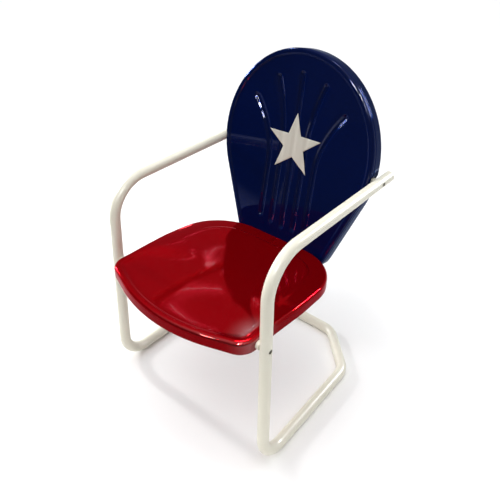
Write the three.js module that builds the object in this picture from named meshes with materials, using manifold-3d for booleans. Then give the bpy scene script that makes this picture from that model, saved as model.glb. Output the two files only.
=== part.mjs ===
// Retro metal lawn chair: a pressed steel seat pan and a pressed steel back panel, bolted
// between two bent tubes that stand on a floor loop and flex at their front bends.
// Millimetres, +Z up, the sitter faces -Y and the sitter's left is +X.

import * as THREE from "three";
import { mergeVertices } from "three/addons/utils/BufferGeometryUtils.js";
import Module from "manifold-3d";

const wasm = await Module();
wasm.setup();

// Gaps and cutting
const fitGap = 0.3;
const cutOverrun = 2;
const weldDistance = 0.0001;

// Frame tube
const tubeDiameter = 28.6;
const tubeWall = 1.6;
const tubeSides = 16;
const bendSteps = 8;

// Side frames, measured along the tube's centre line from the front foot
const postSpacing = 520;
const postLean = 13;
const armFrontHeight = 569;
const armRise = 14.4;
const armReach = 510;
const armSplay = 11;
const armBendRadius = 103;
const footBendRadius = 70;
const footStraight = 10;
const runnerLength = 361.4;
const cornerCut = 112;
const cornerBendRadius = 60;

// Rear crossbar, whose swaged necks slide into the runners
const seamFromBend = 9;
const neckLength = 45;
const neckShoulder = 3;

// Caps that close the rear ends of the arms
const capThickness = 2;
const capStub = 12;
const capChamfer = 0.8;

// Pressed sheet
const sheetThickness = 1.2;

// Back panel, measured in its own plane from its bottom edge, which hangs below the crest
// of the seat's rear rim
const recline = THREE.MathUtils.degToRad(10.74);
const backBottomDrop = 34;
const backBottomReach = 378.7;
const backBottomHalfWidth = 157;
const backWidestRise = 317.6;
const backCrownRise = 277;
const backDish = 4.5;
const backFlatRise = 60;
const backWallDepth = 42;
const backEdgeRadius = 3;
const backSeatPress = 7;
const backSeatHalf = 13;
const backBoltDepth = 26;

// Rolled rim of the back panel: how far each fold lies out of the crease, and how far back
const backRimWidth = 18;
const backRimRise = 3.6;
const backRimRiseReach = [4, 10];
const backRimRiseShares = [0.8, 1, 0.6];
const backBeadDepth = 1.2;
const backBeadStart = 8;
const backBeadHalf = 2.5;

// Five grooves that run side by side and fan out at the top
const grooveCount = 5;
const groovePitch = 40;
const grooveHalf = 10;
const grooveFloorHalf = 4;
const grooveDepth = 4.5;
const grooveEndHalf = 5;
const grooveFootRise = [65, 70, 80];
const grooveFanRise = [300, 297, 257];
const grooveFanPull = [100, 102, 92];
const grooveCrownPull = [60, 72, 61];
const grooveCrownDegrees = [90, 65, 36.5];
const sideCrownDegrees = 20;
const fanRowShares = [0.2, 0.4, 0.57, 0.7, 0.8, 1];
const grooveTopShare = 0.7;
const sideColumnShares = [0.4, 0.75, 1];
const webShare = 0.5;

// Star on the back panel
const starRise = 319.6;
const starRadius = 93;
const starInnerShare = 0.391;
const starThickness = 0.5;
const starPoints = 5;

// Seat pan
const seatFrontReach = 85;
const seatFrontRadius = 460;
const seatFrontArcHalf = 150;
const seatFrontCornerRadius = 40;
const seatBulge = 7;
const seatBulgeReach = 165;
const seatBulgeRadius = 500;
const seatFlatEnd = 22;
const seatRearHalfWidth = 234;
const seatRearCornerRadius = 150;
const seatRimFrontHeight = 372;
const seatRimDrop = 30;
const seatRimDropPower = 2.2;
const seatWallHeight = 31;
const seatDish = 8;
const seatFrontDishPower = 6;
const seatSideDishPower = 4;
const seatCentreReach = 175;
const seatRingShares = [0.88, 0.7, 0.48, 0.24];
const seatFrontSteps = 8;
const seatCornerSteps = 4;
const seatBulgeSteps = 2;
const seatRearSteps = 7;

// Rim of the seat pan: distances in from the outline, with heights against the rim's crest
const seatRimInsets = [0, 0, 2.2, 8, 17, 23];
const seatRimHeights = [-seatWallHeight, -7, -2, 0, -0.6, -4.4];

// The crease in the rim holds along the front; farther back the rim widens to a soft roll
const seatWideningUntil = 170;
const seatCrispUntil = 40;
const seatSoftFrom = 120;
const seatRollWidenings = [0, 0, 0, 0, 9, 24];
const seatRollHeights = [-seatWallHeight, -7, -2, 0, 1.8, 2.5];

// Pressed drain dart at the middle of the seat's rear rim
const dartHalfWidth = 8;
const dartDepth = 4;

// Fasteners
const boltDiameter = 6;
const boltHeadDiameter = 10.4;
const boltHeadHeight = 3.8;
const boltHeadLift = 1.4;
const boltHeadRound = 1.2;
const boltSocketAcross = 4;
const boltSocketDepth = 2.2;
const boltTail = 3;
const boltSides = 12;
const boltHole = 6.8;
const accessHole = 11.5;
const spacerDiameter = 20;
const seatSpacerLength = 8;
const backSpacerLength = 6;
const washerDiameter = 16;
const washerThickness = 1.2;
const nutAcross = 10;
const nutThickness = 5;
const seatBoltHeight = 354;
const joinBoltShare = 0.51;
const joinBoltSpacing = 60;
const joinBoltCount = 3;

// Finishes
const powderWhite = new THREE.MeshStandardMaterial({ color: 0xded9cb, roughness: 0.4, metalness: 0 });
const enamelRed = new THREE.MeshStandardMaterial({ color: 0x8c0010, roughness: 0.12, metalness: 0 });
const enamelNavy = new THREE.MeshStandardMaterial({ color: 0x060f3a, roughness: 0.12, metalness: 0 });
const starGrey = new THREE.MeshStandardMaterial({ color: 0xc6c3b8, roughness: 0.4, metalness: 0 });
const zincSteel = new THREE.MeshStandardMaterial({ color: 0xa9abad, roughness: 0.35, metalness: 1 });

const halfTurn = Math.PI;
const fullTurn = 2 * Math.PI;
const tubeRadius = tubeDiameter / 2;
const boreRadius = tubeRadius - tubeWall;
const postHalf = postSpacing / 2;
const armRearHeight = armFrontHeight + armRise;
const seatWallTop = seatRimHeights[1];
const seatRimRearHeight = seatRimFrontHeight - seatRimDrop;
const backBottomHeight = seatRimRearHeight - backBottomDrop;
const joinBoltDrop = THREE.MathUtils.lerp(seatWallTop, -seatWallHeight, joinBoltShare);
const joinBoltHeight = seatRimRearHeight + joinBoltDrop;
const joinBoltRise = (joinBoltHeight - backBottomHeight) / Math.cos(recline);
const sides = [
  { name: "left", sign: 1 },
  { name: "right", sign: -1 },
];

// Solids and geometries

function solidOf(geometry) {
  const bare = geometry.clone();
  bare.deleteAttribute("normal");
  bare.deleteAttribute("uv");
  const welded = mergeVertices(bare, weldDistance);
  const corners = welded.index.array;
  const kept = [];
  for (let i = 0; i < corners.length; i += 3) {
    const [a, b, c] = [corners[i], corners[i + 1], corners[i + 2]];
    if (a !== b && b !== c && c !== a) kept.push(a, b, c);
  }
  const mesh = new wasm.Mesh({
    numProp: 3,
    vertProperties: welded.attributes.position.array,
    triVerts: Uint32Array.from(kept),
  });
  return new wasm.Manifold(mesh);
}

function geometryOf(solid) {
  const mesh = solid.getMesh();
  const geometry = new THREE.BufferGeometry();
  geometry.setAttribute("position", new THREE.BufferAttribute(mesh.vertProperties, 3));
  geometry.setIndex(new THREE.BufferAttribute(mesh.triVerts, 1));
  geometry.computeVertexNormals();
  return geometry;
}

function cutAll(geometry, cutters) {
  let solid = solidOf(geometry);
  for (const cutter of cutters) solid = solid.subtract(solidOf(cutter));
  return geometryOf(solid);
}

function part(name, geometry, material) {
  const mesh = new THREE.Mesh(geometry, material);
  mesh.name = name;
  return mesh;
}

// A cylinder between two points.
function rod(from, to, radius, segments = boltSides) {
  const along = to.clone().sub(from);
  const geometry = new THREE.CylinderGeometry(radius, radius, along.length(), segments);
  geometry.applyQuaternion(turnTo(along));
  const middle = from.clone().add(to).multiplyScalar(0.5);
  return geometry.translate(middle.x, middle.y, middle.z);
}

function turnTo(direction) {
  const up = new THREE.Vector3(0, 1, 0);
  return new THREE.Quaternion().setFromUnitVectors(up, direction.clone().normalize());
}

// Bent tubes

// A route of straight runs and round bends. Each corner but the first and last has a radius.
function bentRoute(corners, radii) {
  const first = corners[0];
  const last = corners[corners.length - 1];
  const stations = [{ point: first, tangent: corners[1].clone().sub(first).normalize() }];
  radii.forEach((radius, index) => {
    const corner = corners[index + 1];
    const into = corner.clone().sub(corners[index]).normalize();
    const out = corners[index + 2].clone().sub(corner).normalize();
    const turn = into.angleTo(out);
    const run = radius * Math.tan(turn / 2);
    const start = corner.clone().addScaledVector(into, -run);
    const across = out.clone().addScaledVector(into, -out.dot(into)).normalize();
    for (let step = 0; step <= bendSteps; step += 1) {
      const angle = (turn * step) / bendSteps;
      const point = start
        .clone()
        .addScaledVector(into, radius * Math.sin(angle))
        .addScaledVector(across, radius * (1 - Math.cos(angle)));
      const tangent = into.clone().multiplyScalar(Math.cos(angle));
      stations.push({ point, tangent: tangent.addScaledVector(across, Math.sin(angle)) });
    }
  });
  const end = stations[stations.length - 1];
  stations.push({ point: last, tangent: end.tangent.clone() });
  return stations;
}

// A curve that is sampled only at its stations, so a straight run takes a single step.
class StationCurve extends THREE.Curve {
  constructor(stations) {
    super();
    this.stations = stations;
  }

  stationAt(share) {
    return this.stations[Math.round(share * (this.stations.length - 1))];
  }

  getPoint(share, target = new THREE.Vector3()) {
    return target.copy(this.stationAt(share).point);
  }

  getPointAt(share, target) {
    return this.getPoint(share, target);
  }

  getTangentAt(share, target = new THREE.Vector3()) {
    return target.copy(this.stationAt(share).tangent);
  }
}

// A regular polygon with a flat on each axis, given its distance from centre to flat.
function flatPolygon(apothem, count) {
  const radius = apothem / Math.cos(halfTurn / count);
  const points = [];
  for (let i = 0; i < count; i += 1) {
    const angle = (fullTurn * (i + 0.5)) / count;
    points.push(new THREE.Vector2(radius * Math.cos(angle), radius * Math.sin(angle)));
  }
  return points;
}

function sweep(stations, outer, bore = 0) {
  const shape = new THREE.Shape(flatPolygon(outer, tubeSides));
  if (bore > 0) shape.holes.push(new THREE.Path(flatPolygon(bore, tubeSides)));
  const extrudePath = new StationCurve(stations);
  return new THREE.ExtrudeGeometry(shape, { steps: stations.length - 1, extrudePath });
}

// Corners of one side's tube, from the arm's rear end to the rear crossbar
function frameCorners(sign) {
  return {
    armEnd: new THREE.Vector3(sign * (postHalf + armSplay), armReach, armRearHeight),
    armFront: new THREE.Vector3(sign * postHalf, postLean, armFrontHeight),
    foot: new THREE.Vector3(sign * postHalf, 0, tubeRadius),
    heel: new THREE.Vector3(sign * postHalf, runnerLength, tubeRadius),
    rear: new THREE.Vector3(sign * (postHalf - cornerCut), runnerLength + cornerCut, tubeRadius),
  };
}

function towards(from, to, distance) {
  return from.clone().addScaledVector(to.clone().sub(from).normalize(), distance);
}

// How far a bend's tangent points lie from its corner
function bendRun(before, corner, after, radius) {
  const turn = corner.clone().sub(before).angleTo(after.clone().sub(corner));
  return radius * Math.tan(turn / 2);
}

// Where each side's tube changes from arm to foot bend to runner to crossbar
function frameSplits(sign) {
  const at = frameCorners(sign);
  const middle = new THREE.Vector3(0, at.rear.y, at.rear.z);
  const footRun = bendRun(at.armFront, at.foot, at.heel, footBendRadius) + footStraight;
  const seamRun = bendRun(at.heel, at.rear, middle, cornerBendRadius) + seamFromBend;
  return {
    ...at,
    postEnd: towards(at.foot, at.armFront, footRun),
    runnerStart: towards(at.foot, at.heel, footRun),
    seam: towards(at.rear, at.heel, seamRun),
    neckEnd: towards(at.rear, at.heel, seamRun + neckLength),
  };
}

function pointOnPost(sign, height) {
  const at = frameCorners(sign);
  const share = (height - at.foot.z) / (at.armFront.z - at.foot.z);
  return at.foot.clone().lerp(at.armFront, share);
}

function pointOnArm(sign, reach) {
  const at = frameCorners(sign);
  const share = (reach - at.armFront.y) / (at.armEnd.y - at.armFront.y);
  return at.armFront.clone().lerp(at.armEnd, share);
}

// The arm bolt stands where the arm's centre line crosses the middle of the back's side wall.
const armSlope = (armRearHeight - armFrontHeight) / (armReach - postLean);
const backTop = new THREE.Vector3(0, Math.sin(recline), Math.cos(recline));
const backRear = new THREE.Vector3(0, Math.cos(recline), -Math.sin(recline));
const armBoltRise =
  (armFrontHeight - backBottomHeight + backBoltDepth * Math.sin(recline) +
    armSlope * (backBottomReach + backBoltDepth * Math.cos(recline) - postLean)) /
  (Math.cos(recline) - armSlope * Math.sin(recline));
const armBoltReach =
  backBottomReach + armBoltRise * Math.sin(recline) + backBoltDepth * Math.cos(recline);

// A side bolt: the tube's centre at the bolt, the spacer behind it, and the sheet's flat
function sideBolt(sign, centre, spacerLength) {
  const tubeFace = Math.abs(centre.x) - tubeRadius;
  return { sign, centre, spacerLength, tubeFace, sheetFace: tubeFace - spacerLength - 2 * fitGap };
}

const seatBoltAt = (sign) => sideBolt(sign, pointOnPost(sign, seatBoltHeight), seatSpacerLength);
const backBoltAt = (sign) => sideBolt(sign, pointOnArm(sign, armBoltReach), backSpacerLength);
const seatFlatHalf = seatBoltAt(1).sheetFace;
const backFlatHalf = backBoltAt(1).sheetFace;

// The access hole goes through the outer wall only, and the bolt hole through the inner one.
function tubeHoles(bolt) {
  const outward = new THREE.Vector3(bolt.sign, 0, 0);
  const outerEnd = bolt.centre.clone().addScaledVector(outward, tubeRadius + cutOverrun);
  const innerEnd = bolt.centre.clone().addScaledVector(outward, -tubeRadius - cutOverrun);
  return [rod(bolt.centre, outerEnd, accessHole / 2), rod(bolt.centre, innerEnd, boltHole / 2)];
}

function sideFrame(side) {
  const at = frameSplits(side.sign);
  const group = new THREE.Group();
  const postTop = towards(at.postEnd, at.armFront, fitGap);
  const runnerHead = towards(at.runnerStart, at.heel, fitGap);
  const runnerTail = towards(at.seam, at.heel, fitGap);
  const armRoute = bentRoute([at.armEnd, at.armFront, postTop], [armBendRadius]);
  const arm = sweep(armRoute, tubeRadius, boreRadius);
  const foot = bentRoute([at.postEnd, at.foot, at.runnerStart], [footBendRadius]);
  const runner = bentRoute([runnerHead, at.heel, runnerTail], [cornerBendRadius]);
  const holes = [...tubeHoles(seatBoltAt(side.sign)), ...tubeHoles(backBoltAt(side.sign))];
  group.add(part(`${side.name}_arm_tube`, cutAll(arm, holes), powderWhite));
  group.add(part(`${side.name}_foot_bend`, sweep(foot, tubeRadius, boreRadius), powderWhite));
  group.add(part(`${side.name}_runner`, sweep(runner, tubeRadius, boreRadius), powderWhite));
  group.add(armCap(side, at));
  return group;
}

function armCap(side, at) {
  const stubRadius = boreRadius - fitGap;
  const profile = [
    new THREE.Vector2(0, -capStub),
    new THREE.Vector2(stubRadius - capChamfer, -capStub),
    new THREE.Vector2(stubRadius, capChamfer - capStub),
    new THREE.Vector2(stubRadius, fitGap),
    new THREE.Vector2(tubeRadius, fitGap),
    new THREE.Vector2(tubeRadius, capThickness - capChamfer),
    new THREE.Vector2(tubeRadius - capChamfer, capThickness),
    new THREE.Vector2(0, capThickness),
  ];
  const mesh = part(`${side.name}_arm_cap`, new THREE.LatheGeometry(profile, tubeSides), powderWhite);
  mesh.position.copy(at.armEnd);
  mesh.quaternion.copy(turnTo(at.armEnd.clone().sub(at.armFront)));
  return mesh;
}

function rearCrossbar() {
  const left = frameSplits(1);
  const right = frameSplits(-1);
  const neckRadius = boreRadius - fitGap;
  const bends = [cornerBendRadius, cornerBendRadius];
  const route = bentRoute([left.seam, left.rear, right.rear, right.seam], bends);
  const boreEnds = [left, right].map((at) => towards(at.seam, at.rear, neckShoulder));
  const boreRoute = bentRoute([boreEnds[0], left.rear, right.rear, boreEnds[1]], bends);
  let solid = solidOf(sweep(route, tubeRadius));
  for (const at of [left, right]) {
    const root = towards(at.seam, at.rear, neckShoulder);
    solid = solid.add(solidOf(sweep(straightRoute(root, at.neckEnd), neckRadius)));
  }
  solid = solid.subtract(solidOf(sweep(boreRoute, boreRadius)));
  for (const at of [left, right]) {
    const inside = towards(at.seam, at.rear, neckShoulder + cutOverrun);
    const outside = towards(at.neckEnd, at.seam, -cutOverrun);
    solid = solid.subtract(solidOf(sweep(straightRoute(inside, outside), neckRadius - tubeWall)));
  }
  return part("rear_crossbar", geometryOf(solid), powderWhite);
}

function straightRoute(from, to) {
  const tangent = to.clone().sub(from).normalize();
  return [
    { point: from, tangent },
    { point: to, tangent: tangent.clone() },
  ];
}

// Pressed sheet

// Closes an open sheet between its outer points and the same points moved behind it
function closedSheet(outer, inner, triangles) {
  const count = outer.length;
  const faces = [...triangles];
  const borders = new Map();
  for (const [a, b, c] of triangles) {
    faces.push([c + count, b + count, a + count]);
    for (const [from, to] of [[a, b], [b, c], [c, a]]) {
      if (!borders.delete(`${to},${from}`)) borders.set(`${from},${to}`, [from, to]);
    }
  }
  for (const [from, to] of borders.values()) {
    faces.push([to, from, from + count], [to, from + count, to + count]);
  }
  const geometry = new THREE.BufferGeometry();
  const places = [...outer, ...inner].flatMap((p) => [p.x, p.y, p.z]);
  geometry.setAttribute("position", new THREE.Float32BufferAttribute(places, 3));
  geometry.setIndex(faces.flat());
  return geometry;
}

// An open sheet is given by its outer face, and the inner face lies one thickness behind it.
function thickSheet(points, triangles, thickness) {
  const normals = points.map(() => new THREE.Vector3());
  for (const [a, b, c] of triangles) {
    const ab = points[b].clone().sub(points[a]);
    const face = ab.cross(points[c].clone().sub(points[a]));
    for (const corner of [a, b, c]) normals[corner].add(face);
  }
  const behind = (point, i) => point.clone().addScaledVector(normals[i].normalize(), -thickness);
  return closedSheet(points, points.map(behind), triangles);
}

// Back panel. Its local x is across, y is to the rear and z is up the panel.

const creaseHalf = backFlatHalf + backSeatPress - backRimWidth;
const creaseCrown = backCrownRise - backRimWidth;
const creaseFoot = new THREE.Vector2(backBottomHalfWidth - backRimWidth, backRimWidth);

function creaseCrownPoint(angle) {
  return new THREE.Vector2(creaseHalf * Math.cos(angle), backWidestRise + creaseCrown * Math.sin(angle));
}

// The straight taper of the side leaves the crown's ellipse where it is tangent to it.
const creaseTangentAngle = (() => {
  const across = creaseFoot.x / creaseHalf;
  const down = (creaseFoot.y - backWidestRise) / creaseCrown;
  return Math.atan2(down, across) + Math.acos(1 / Math.hypot(across, down));
})();

function creaseSidePoint(rise) {
  const tangent = creaseCrownPoint(creaseTangentAngle);
  if (rise > tangent.y) return creaseCrownPoint(Math.asin((rise - backWidestRise) / creaseCrown));
  const share = (rise - creaseFoot.y) / (tangent.y - creaseFoot.y);
  return creaseFoot.clone().lerp(tangent, share);
}

// Rises of the rows below the fan, the same number in each column
function lowerRises(foot, fan) {
  const floorStart = foot + grooveEndHalf;
  const third = (fan - floorStart) / 3;
  return [creaseFoot.y, foot - grooveEndHalf, floorStart, floorStart + third, fan - third, fan];
}

// One column along a groove: offset sideways from the groove's middle line
function grooveColumn(index, offset) {
  const base = index * groovePitch + offset;
  const rises = lowerRises(grooveFootRise[index], grooveFanRise[index]);
  const rows = rises.map((rise) => new THREE.Vector2(base, rise));
  const start = rows[rows.length - 1];
  const angle = THREE.MathUtils.degToRad(grooveCrownDegrees[index]) - offset / creaseCrown;
  const end = creaseCrownPoint(angle);
  const inward = new THREE.Vector2(-Math.cos(angle), -Math.sin(angle));
  const curve = new THREE.CubicBezierCurve(
    start,
    start.clone().add(new THREE.Vector2(0, grooveFanPull[index])),
    end.clone().addScaledVector(inward, grooveCrownPull[index]),
    end,
  );
  for (const share of fanRowShares) rows.push(curve.getPoint(share));
  return rows;
}

// The column along the side crease, with two rows at the ends of the flat for the arm bolt
function sideColumn() {
  const last = grooveFootRise.length - 1;
  const flatStart = armBoltRise - backSeatHalf;
  const flatEnd = armBoltRise + backSeatHalf;
  const rows = lowerRises(grooveFootRise[last], flatStart).map(creaseSidePoint);
  rows.push(creaseSidePoint(flatEnd));
  const startAngle = Math.asin((flatEnd - backWidestRise) / creaseCrown);
  const endAngle = THREE.MathUtils.degToRad(sideCrownDegrees);
  const firstShare = fanRowShares[0];
  for (const share of fanRowShares.slice(1)) {
    const along = (share - firstShare) / (1 - firstShare);
    rows.push(creaseCrownPoint(startAngle + along * (endAngle - startAngle)));
  }
  return rows;
}

function betweenColumns(inner, outer, share) {
  const rows = inner.map((point, row) => point.clone().lerp(outer[row], share));
  const top = rows.length - 1;
  const angleOf = (p) => Math.atan2((p.y - backWidestRise) / creaseCrown, p.x / creaseHalf);
  rows[top] = creaseCrownPoint(THREE.MathUtils.lerp(angleOf(inner[top]), angleOf(outer[top]), share));
  return rows;
}

// Columns of the right half from the middle outwards, each with its share of groove depth
function halfColumns() {
  const columns = [];
  const outermost = (grooveCount - 1) / 2;
  for (let index = 0; index <= outermost; index += 1) {
    if (index > 0) {
      const before = columns[columns.length - 1].rows;
      const web = betweenColumns(before, grooveColumn(index, -grooveHalf), webShare);
      columns.push({ rows: web, floor: false });
    }
    for (const offset of [-grooveHalf, -grooveFloorHalf, grooveFloorHalf, grooveHalf]) {
      if (index === 0 && offset < 0) continue;
      const floor = Math.abs(offset) === grooveFloorHalf;
      columns.push({ rows: grooveColumn(index, offset), floor });
    }
  }
  const inner = columns[columns.length - 1].rows;
  const outer = sideColumn();
  for (const share of sideColumnShares) {
    columns.push({ rows: betweenColumns(inner, outer, share), floor: false });
  }
  return columns;
}

function backDepth(point) {
  const across = Math.abs(point.x);
  if (point.y > backWidestRise) {
    const reach = (across / creaseHalf) ** 2 + ((point.y - backWidestRise) / creaseCrown) ** 2;
    return backDish * Math.max(0, 1 - reach);
  }
  const fade = THREE.MathUtils.smoothstep(point.y, backFlatRise, backWidestRise);
  return backDish * fade * Math.max(0, 1 - (across / creaseSidePoint(point.y).x) ** 2);
}

// Rows of points of the panel's face inside the crease, left to right
function backFace() {
  const right = halfColumns();
  const mirrored = right.map(({ rows, floor }) => {
    return { rows: rows.map((p) => new THREE.Vector2(-p.x, p.y)), floor };
  });
  const columns = [...mirrored.reverse(), ...right];
  const lowerCount = columns[0].rows.length - fanRowShares.length;
  const floorRows = (row) => {
    if (row < lowerCount) return row >= 2;
    return fanRowShares[row - lowerCount] <= grooveTopShare;
  };
  return columns[0].rows.map((_, row) =>
    columns.map(({ rows, floor }) => {
      const point = rows[row];
      const groove = floor && floorRows(row) ? grooveDepth : 0;
      return new THREE.Vector3(point.x, backDepth(point) + groove, point.y);
    }),
  );
}

// Folds of the rim, from the crease outwards: out of the crease, to the rear, part of the rise
function backRimFolds() {
  const beadMiddle = backBeadStart + backBeadHalf;
  const [lowRise, crest, outerRise] = backRimRiseShares;
  return [
    { out: backRimRiseReach[0], rear: 0, rise: lowRise },
    { out: backRimRiseReach[1], rear: 0, rise: crest },
    { out: backRimWidth - backEdgeRadius, rear: 0, rise: outerRise },
    { out: backRimWidth, rear: backEdgeRadius, rise: 0 },
    { out: backRimWidth, rear: backBeadStart, rise: 0 },
    { out: backRimWidth - backBeadDepth, rear: beadMiddle, rise: 0 },
    { out: backRimWidth, rear: beadMiddle + backBeadHalf, rise: 0 },
    { out: backRimWidth, rear: backWallDepth, rise: 0 },
  ];
}

function backSheet() {
  const face = backFace();
  const rowCount = face.length;
  const columnCount = face[0].length;
  const points = face.flat();
  const triangles = [];
  const at = (row, column) => row * columnCount + column;
  for (let row = 0; row + 1 < rowCount; row += 1) {
    for (let column = 0; column + 1 < columnCount; column += 1) {
      const [a, b] = [at(row, column), at(row, column + 1)];
      const [d, c] = [at(row + 1, column), at(row + 1, column + 1)];
      triangles.push([a, b, c], [a, c, d]);
    }
  }
  const loop = [];
  for (let column = 0; column < columnCount - 1; column += 1) loop.push(at(0, column));
  for (let row = 0; row < rowCount - 1; row += 1) loop.push(at(row, columnCount - 1));
  for (let column = columnCount - 1; column > 0; column -= 1) loop.push(at(rowCount - 1, column));
  for (let row = rowCount - 1; row > 0; row -= 1) loop.push(at(row, 0));
  let previous = loop;
  for (const fold of backRimFolds()) {
    const ring = loop.map((index, i) => {
      const before = points[loop[(i + loop.length - 1) % loop.length]];
      const after = points[loop[(i + 1) % loop.length]];
      const outward = new THREE.Vector2(after.z - before.z, before.x - after.x).normalize();
      points.push(backRimPoint(points[index], outward, fold));
      return points.length - 1;
    });
    addBand(triangles, previous, ring);
    previous = ring;
  }
  return thickSheet(points, triangles, sheetThickness);
}

// The rise is left out along the bottom edge, where the seat's rear flange lies against it.
// Beside the arm bolt the side wall is pressed in to a flat for the spacer.
function backRimPoint(crease, outward, fold) {
  const lift = backRimRise * fold.rise * THREE.MathUtils.clamp(1 + outward.y, 0, 1);
  const across = crease.x + outward.x * fold.out;
  const point = new THREE.Vector3(across, fold.rear - lift, crease.z + outward.y * fold.out);
  if (Math.abs(crease.z - armBoltRise) < backSeatHalf + fitGap) {
    const reach = fold.rear > 0 ? backFlatHalf : Math.min(Math.abs(point.x), backFlatHalf);
    point.x = Math.sign(point.x) * reach;
  }
  return point;
}

// A closed band of triangles between an inner loop and the next loop outwards
function addBand(triangles, inner, outer) {
  inner.forEach((a, i) => {
    const next = (i + 1) % inner.length;
    triangles.push([a, outer[i], outer[next]], [a, outer[next], inner[next]]);
  });
}

function backPanel() {
  const bolt = backBoltAt(1);
  const sideReach = bolt.sheetFace + cutOverrun;
  const insideReach = bolt.sheetFace - sheetThickness - cutOverrun;
  const holes = sides.map(({ sign }) => {
    const inner = new THREE.Vector3(sign * insideReach, backBoltDepth, armBoltRise);
    const outer = new THREE.Vector3(sign * sideReach, backBoltDepth, armBoltRise);
    return rod(inner, outer, boltHole / 2);
  });
  for (const across of joinBoltPlaces()) {
    const front = new THREE.Vector3(across, -cutOverrun, joinBoltRise);
    const rear = new THREE.Vector3(across, sheetThickness + cutOverrun, joinBoltRise);
    holes.push(rod(front, rear, boltHole / 2));
  }
  return part("back_panel", cutAll(backSheet(), holes), enamelNavy);
}

// Star: a thin layer that follows the panel's face, grooves and all
function star() {
  const face = backFace();
  const columnCount = face[0].length;
  const first = sideColumnShares.length;
  const layer = face.map((row) => row.slice(first, columnCount - first));
  const width = layer[0].length;
  const lift = new THREE.Vector3(0, -fitGap - starThickness, 0);
  const points = layer.flat().map((p) => p.clone().add(lift));
  const triangles = [];
  for (let row = 0; row + 1 < layer.length; row += 1) {
    for (let column = 0; column + 1 < width; column += 1) {
      const a = row * width + column;
      triangles.push([a, a + 1, a + 1 + width], [a, a + 1 + width, a + width]);
    }
  }
  const behind = points.map((p) => p.clone().add(new THREE.Vector3(0, starThickness, 0)));
  const sheet = closedSheet(points, behind, triangles);
  const outline = [];
  for (let i = 0; i < 2 * starPoints; i += 1) {
    const radius = i % 2 === 0 ? starRadius : starRadius * starInnerShare;
    const angle = halfTurn / 2 + (halfTurn * i) / starPoints;
    outline.push(new THREE.Vector2(radius * Math.cos(angle), radius * Math.sin(angle)));
  }
  const depth = 2 * (backDish + grooveDepth + cutOverrun);
  const flat = { depth, bevelEnabled: false, steps: 1 };
  const prism = new THREE.ExtrudeGeometry(new THREE.Shape(outline), flat);
  prism.translate(0, 0, -depth / 2);
  prism.rotateX(halfTurn / 2);
  prism.translate(0, 0, starRise);
  return part("back_star", geometryOf(solidOf(sheet).intersect(solidOf(prism))), starGrey);
}

// Seat pan

const seatWallTopRise = seatRimRearHeight + seatWallTop - backBottomHeight;
const seatRearReach =
  backBottomReach + seatWallTopRise * Math.tan(recline) - fitGap / Math.cos(recline);

function seatRimHeight(reach) {
  const share = (reach + seatFrontReach) / (seatRearReach + seatFrontReach);
  return seatRimFrontHeight - seatRimDrop * Math.max(0, share) ** seatRimDropPower;
}

// Outline of the seat from above, as points with outward normals, starting at the front
function seatOutline() {
  const slope = Math.asin(seatFrontArcHalf / seatFrontRadius);
  const arcSag = seatFrontRadius * (1 - Math.cos(slope));
  const frontCorner = -seatFrontReach + arcSag + (seatFlatHalf - seatFrontArcHalf) * Math.tan(slope);
  const half = [];
  for (let step = 0; step <= seatFrontSteps / 2; step += 1) {
    const angle = (slope * step) / (seatFrontSteps / 2);
    const reach = seatFrontRadius * (1 - Math.cos(angle)) - seatFrontReach;
    half.push(new THREE.Vector2(seatFrontRadius * Math.sin(angle), reach));
  }
  const frontTurn = halfTurn / 2 - slope;
  const frontRoom = seatBoltAt(1).centre.y - washerDiameter / 2 - frontCorner;
  const frontRadius = Math.min(seatFrontCornerRadius, frontRoom / Math.tan(frontTurn / 2));
  const corner = (across, reach, radius, steps) => {
    return { at: new THREE.Vector2(across, reach), radius, steps };
  };
  const corners = [
    corner(seatFlatHalf, frontCorner, frontRadius, seatCornerSteps),
    corner(seatFlatHalf, seatFlatEnd, 0, 0),
    corner(seatFlatHalf + seatBulge, seatBulgeReach, seatBulgeRadius, seatBulgeSteps),
    corner(seatRearHalfWidth, seatRearReach, seatRearCornerRadius, seatRearSteps),
  ];
  const end = new THREE.Vector2(0, seatRearReach);
  corners.forEach((turn, i) => {
    const before = i === 0 ? half[half.length - 1] : corners[i - 1].at;
    const after = i + 1 < corners.length ? corners[i + 1].at : end;
    half.push(...roundCorner(before, turn, after));
  });
  half.push(new THREE.Vector2(dartHalfWidth, seatRearReach), end);
  const mirrored = half.slice(1, -1).map((p) => new THREE.Vector2(-p.x, p.y));
  return [...half, ...mirrored.reverse()];
}

function roundCorner(before, corner, after) {
  if (corner.steps === 0) return [corner.at];
  const into = corner.at.clone().sub(before).normalize();
  const out = after.clone().sub(corner.at).normalize();
  const turn = Math.acos(THREE.MathUtils.clamp(into.dot(out), -1, 1));
  const run = corner.radius * Math.tan(turn / 2);
  const left = new THREE.Vector2(-into.y, into.x);
  const start = corner.at.clone().addScaledVector(into, -run);
  const points = [];
  for (let step = 0; step <= corner.steps; step += 1) {
    const angle = (turn * step) / corner.steps;
    points.push(
      start
        .clone()
        .addScaledVector(into, corner.radius * Math.sin(angle))
        .addScaledVector(left, corner.radius * (1 - Math.cos(angle))),
    );
  }
  return points;
}

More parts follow.
